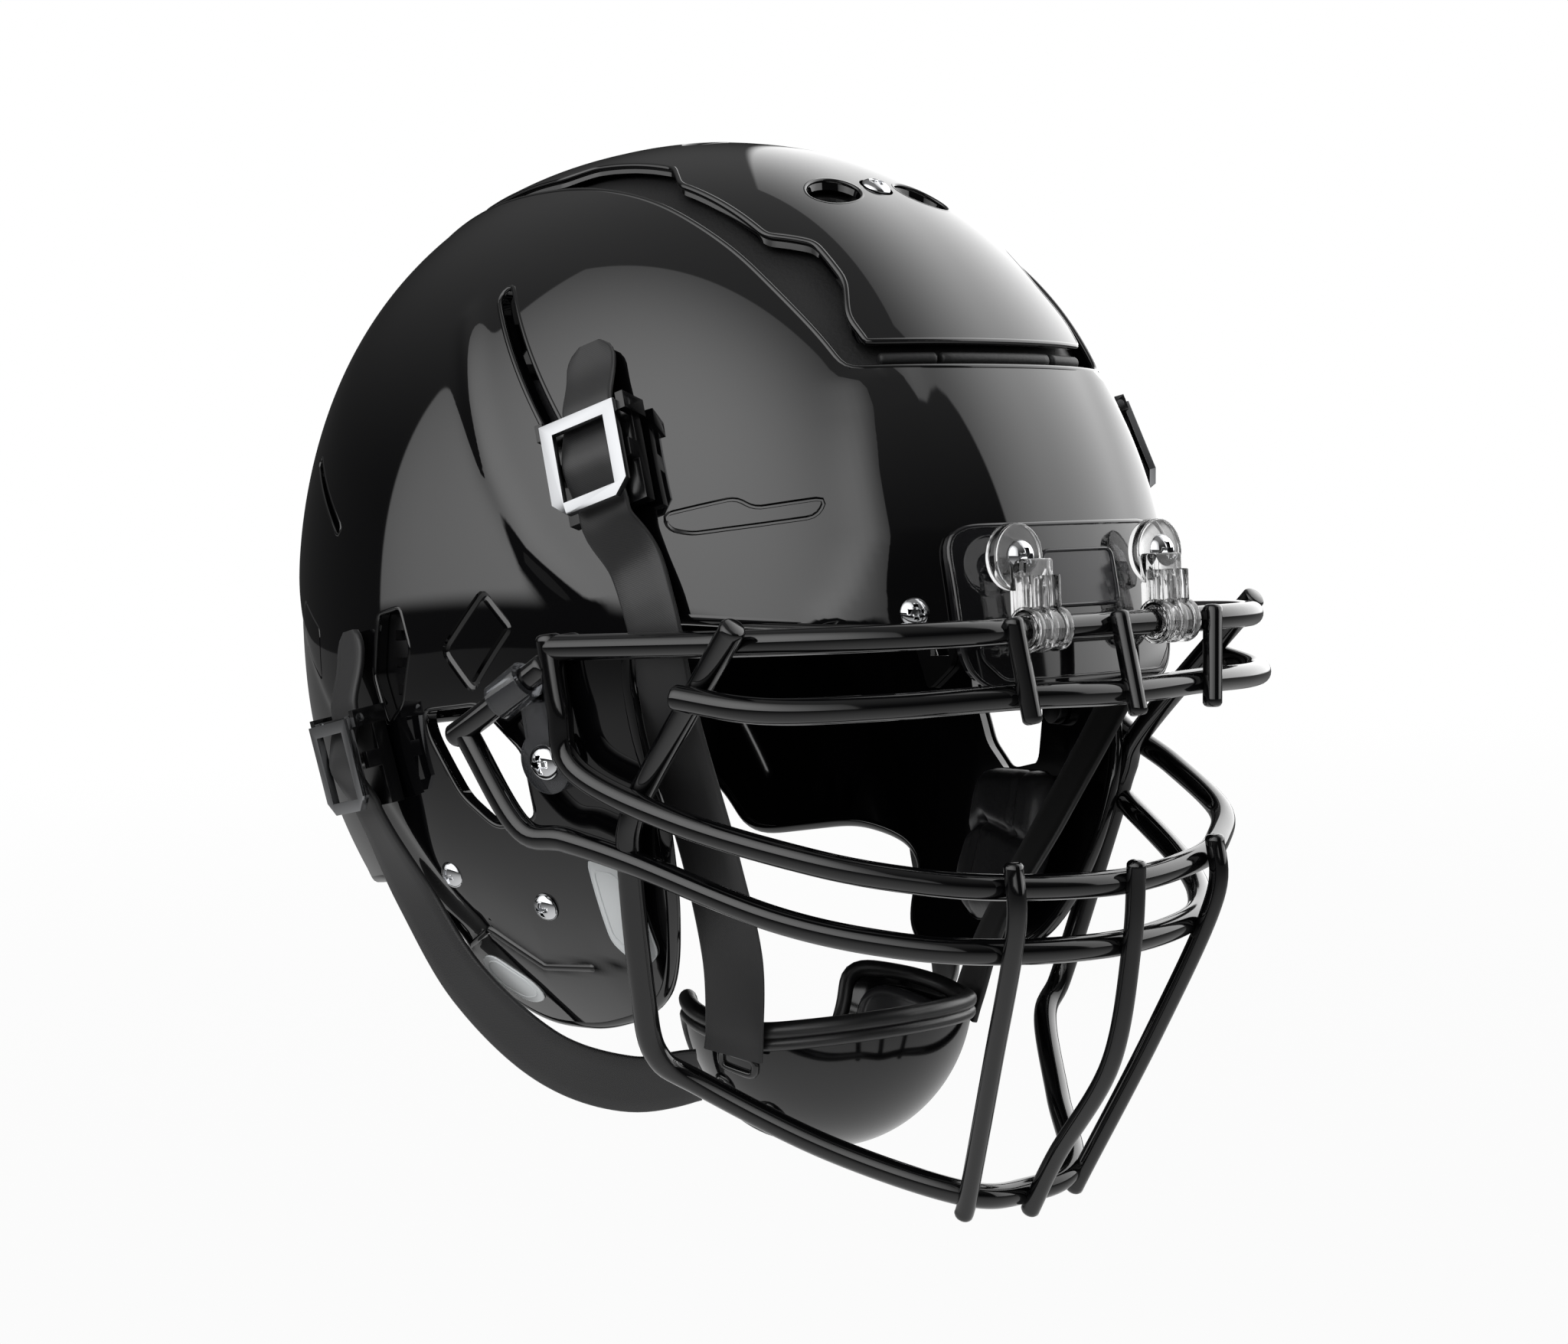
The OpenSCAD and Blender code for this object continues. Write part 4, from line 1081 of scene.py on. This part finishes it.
# ---- liner pads -------------------------------------------------------------------------
def cushion(name, outline, axis, sign, outer, inner, seams=(), crown=2.5, step=2.2, source=None):
    """A crowned pad between two heights inside the shell: its outline in a side, front or plan view.

    It is rounded at its edge, rises to the middle of every panel and sinks along the seams."""
    rim = resample(outline, step, True)
    middle = rim.mean(0)
    shares = (1 - (1 - np.linspace(0, 1, 26)) ** 1.5)[:-1]
    edge_r = min(7.0, (outer - inner) / 2)
    back, face = [], []
    for share in shares:
        ring = middle + (rim - middle) * (1 - share)
        gap = np.linalg.norm(rim - middle, axis=1) * share
        drop = edge_r * (1 - np.sqrt(np.clip(1 - (1 - np.clip(gap / edge_r, 0, 1)) ** 2, 0, 1)))
        rise = crown * (1 - np.exp(-gap / 9))
        for a, b, w, h in seams:
            d, _, _ = segment_distance(ring[:, 0], ring[:, 1], a, b)
            rise = rise - h * np.exp(-(d / w) ** 2)
        laid = np.insert(ring, axis, 0.0, axis=1)
        back.append((laid, outer - drop))
        face.append((laid, inner + drop - rise + crown * 0.4))
    n = len(rim)

    def lift(laid, off):
        """Each ring lies on one sheet of the egg, moved in along its normal."""
        p = on_axis(laid, axis, -12.0, sign)
        nrm = normal(p, False)
        return p + nrm * (off + 12.0)[:, None]

    rings = [lift(*f) for f in face[::-1]] + [lift(*b) for b in back]
    tip_face, tip_back = rings[0].mean(0), rings[-1].mean(0)
    pts = np.vstack(rings + [tip_face[None], tip_back[None]])
    m = len(rings)
    faces = [(i * n + k, i * n + (k + 1) % n, (i + 1) * n + (k + 1) % n, (i + 1) * n + k)
             for i in range(m - 1) for k in range(n)]
    faces += [(m * n, (k + 1) % n, k) for k in range(n)]
    faces += [((m - 1) * n + k, (m - 1) * n + (k + 1) % n, m * n + 1) for k in range(n)]
    piece = make(name, pts, faces)
    select_only(piece)
    bpy.ops.object.mode_set(mode="EDIT")
    bpy.ops.mesh.select_all(action="SELECT")
    bpy.ops.mesh.normals_make_consistent(inside=False)
    bpy.ops.object.mode_set(mode="OBJECT")
    shade(piece, 60)
    dress(piece, SKIN, BODY_OF[source], [source])
    return piece


def bar_seams(low, high, across, count, width=2.2, deep=2.4, upright=True):
    """Evenly spaced straight seams between two values of one coordinate."""
    out = []
    for v in np.linspace(low, high, count + 2)[1:-1]:
        ends = ((v, across[0]), (v, across[1])) if upright else ((across[0], v), (across[1], v))
        out.append((*ends, width, deep))
    return out


cushion("front_cushion", rounded([(-54, 22), (54, 22), (50, 66), (-50, 66)], 14), 1, -1, -6.5, -22,
        bar_seams(-54, 54, (20, 70), 2) + [((-30, 44), (30, 44), 2.0, 1.4)], source="front_pad")
CROWN_OUTLINE = [(-36, -54), (36, -54), (41, 0), (36, 54), (-36, 54), (-41, 0)]
cushion("crown_cushion", rounded(CROWN_OUTLINE, 14), 2, 1, -12.5, -24,
        bar_seams(-54, 54, (-45, 45), 2, upright=False) + [((0, -54), (0, 54), 2.0, 1.8)],
        source="crown_pad")
cushion("back_cushion", rounded([(-56, 26), (56, 26), (50, 92), (-50, 92)], 14), 1, 1, -7.4, -23,
        bar_seams(-56, 56, (24, 96), 2) + [((-56, 59), (56, 59), 2.0, 1.6)], source="back_pad")
cushion("nape_cushion", rounded([(-62, -11), (62, -11), (62, 15), (-62, 15)], 9), 1, 1, -6.5, -22,
        bar_seams(-62, 62, (-14, 18), 3), source="nape_pad")
SIDE_OUTLINE = [(-48, 26), (48, 26), (46, 88), (-40, 88)]
JAW_OUTLINE = [(-50, -38), (-17, -38), (-13.5, -45), (-13.5, -77), (-24.5, -86), (-43, -84.5), (-52.5, -69),
               (-53, -45)]
JAW_SEAMS = [((-52, -62), (-24, -56), 1.6, 2.2), ((-24, -56), (-13, -62), 1.6, 2.2),
             ((-24, -56), (-26, -88), 1.4, 1.8), ((-40, -36), (-42, -60), 1.4, 1.8)]
for side_name, s in (("left", 1), ("right", -1)):
    cushion(f"side_cushion_{side_name}", rounded(SIDE_OUTLINE, 14), 0, s, -8, -22,
            bar_seams(-48, 48, (24, 92), 2), source=f"side_pad_{side_name}")
    cushion(f"jaw_cushion_{side_name}", rounded(JAW_OUTLINE, 6), 0, s, -7.4, -20, JAW_SEAMS, 2.0, 1.6,
            source=f"jaw_pad_{side_name}")

# ---- floor, light, camera ---------------------------------------------------------------
scene = bpy.context.scene
scene.view_settings.view_transform = "Standard"
FLOOR_Z = -0.30


def feed(tree, n, inputs):
    """Sets a node's inputs from {index: number or socket}."""
    for i, v in inputs.items():
        if isinstance(v, (int, float)):
            n.inputs[i].default_value = v
        else:
            tree.links.new(v, n.inputs[i])
    return n.outputs[0]


def sums(tree, operation, a, b):
    """A maths node; a and b are sockets or numbers."""
    return feed(tree, node(tree, "ShaderNodeMath", operation=operation), {0: a, 1: b})


def ramp(tree, value, low, high, to_low=0.0, to_high=1.0):
    limits = {"From Min": low, "From Max": high, "To Min": to_low, "To Max": to_high}
    n = node(tree, "ShaderNodeMapRange", limits, {"Value": value}, interpolation_type="SMOOTHSTEP")
    return n.outputs["Result"]


def camera_only(tree, seen, lit):
    """One value for what is seen directly or through clear plastic, another for light and reflections."""
    rays = node(tree, "ShaderNodeLightPath")
    direct = sums(tree, "MAXIMUM", rays.outputs["Is Camera Ray"], rays.outputs["Is Transmission Ray"])
    return feed(tree, node(tree, "ShaderNodeMix", data_type="FLOAT"), {0: direct, 2: lit, 3: seen})


bpy.ops.mesh.primitive_plane_add(size=40, location=(0, 0, FLOOR_Z))
floor = bpy.context.active_object
floor.name = "studio_floor"
floor_mat = bpy.data.materials.new("studio_floor")
floor_mat.use_nodes = True
tree = floor_mat.node_tree
tree.nodes.clear()
spot = node(tree, "ShaderNodeTexCoord")
far = node(tree, "ShaderNodeVectorMath", {}, {0: spot.outputs["Object"]}, operation="LENGTH").outputs["Value"]
# The sweep is brightest round the helmet and dims with distance.
farness = sums(tree, "POWER", sums(tree, "DIVIDE", far, 0.6), 2.0)
near_glow = sums(tree, "DIVIDE", 0.8, sums(tree, "ADD", 1.0, farness))
glow = camera_only(tree, ramp(tree, far, 0.2, 5.0, 0.965, 1.0), sums(tree, "ADD", near_glow, 0.12))
shine = node(tree, "ShaderNodeEmission", {"Color": (1, 1, 1, 1)}, {"Strength": glow})
node(tree, "ShaderNodeOutputMaterial", {}, {"Surface": shine.outputs["Emission"]})
floor.data.materials.append(floor_mat)

CAMERA_AT = Vector((-0.55808, -0.68176, 0.03054))
RIGHT, UP = Vector((0.76238, -0.64565, -0.04372)), Vector((0.05725, 0, 0.99836))
AHEAD = Vector((0.64459, 0.76363, -0.03696))
camera_data = bpy.data.cameras.new("camera")
camera_data.lens, camera_data.sensor_width = 65.04, 36
camera = bpy.data.objects.new("camera", camera_data)
bpy.context.collection.objects.link(camera)
camera.matrix_world = Matrix(((RIGHT.x, UP.x, -AHEAD.x, CAMERA_AT.x), (RIGHT.y, UP.y, -AHEAD.y, CAMERA_AT.y),
                              (RIGHT.z, UP.z, -AHEAD.z, CAMERA_AT.z), (0, 0, 0, 1)))
scene.camera = camera




def from_view(azimuth):
    """A level direction, in degrees to the camera's right of the line from the helmet to the camera."""
    flat = -Vector((AHEAD.x, AHEAD.y, 0)).normalized()
    across = Vector((-flat.y, flat.x, 0))
    a = math.radians(azimuth)
    return flat * math.cos(a) + across * math.sin(a)


world = bpy.data.worlds.new("studio")
scene.world = world
world.use_nodes = True
tree = world.node_tree
tree.nodes.clear()
sky = node(tree, "ShaderNodeTexCoord").outputs["Generated"]


def along(direction):
    n = node(tree, "ShaderNodeVectorMath", {1: tuple(direction)}, {0: sky}, operation="DOT_PRODUCT")
    return n.outputs["Value"]


height = along((0, 0, 1))


def softbox(azimuth, left, right, low, high, peak, edge=0.03):
    """A large flat softbox facing the helmet, brightest near its middle; edges are tangents of angles."""
    ahead = along(from_view(azimuth))
    depth_in = sums(tree, "MAXIMUM", ahead, 0.02)
    u = sums(tree, "DIVIDE", along(from_view(azimuth + 90)), depth_in)
    v = sums(tree, "DIVIDE", height, depth_in)
    mask = sums(tree, "GREATER_THAN", ahead, 0.03)
    for value, at, way in ((u, left, 1), (u, right, -1), (v, low, 1), (v, high, -1)):
        side = ramp(tree, value, at - edge, at + edge, 0.5 - 0.5 * way, 0.5 + 0.5 * way)
        mask = sums(tree, "MULTIPLY", mask, side)
    spread_u = sums(tree, "POWER", sums(tree, "DIVIDE", u, 1.35), 2.0)
    spread_v = sums(tree, "POWER", sums(tree, "DIVIDE", sums(tree, "SUBTRACT", v, 0.5), 1.25), 2.0)
    fall = sums(tree, "ADD", 1.0, sums(tree, "ADD", spread_u, spread_v))
    return sums(tree, "MULTIPLY", mask, sums(tree, "DIVIDE", peak, fall))


boxes = sums(tree, "ADD", softbox(-45, -2.14, 2.36, 0.12, 2.9, 2.6), softbox(125, -1.43, 1.35, 0.0, 3.2, 2.7))
ambient = ramp(tree, height, 0.2, 1.0, 0.03, 0.28)
strength = camera_only(tree, 1.0, sums(tree, "ADD", boxes, ambient))
back = node(tree, "ShaderNodeBackground", {"Color": (1, 1, 1, 1)}, {"Strength": strength})
node(tree, "ShaderNodeOutputWorld", {}, {"Surface": back.outputs["Background"]})
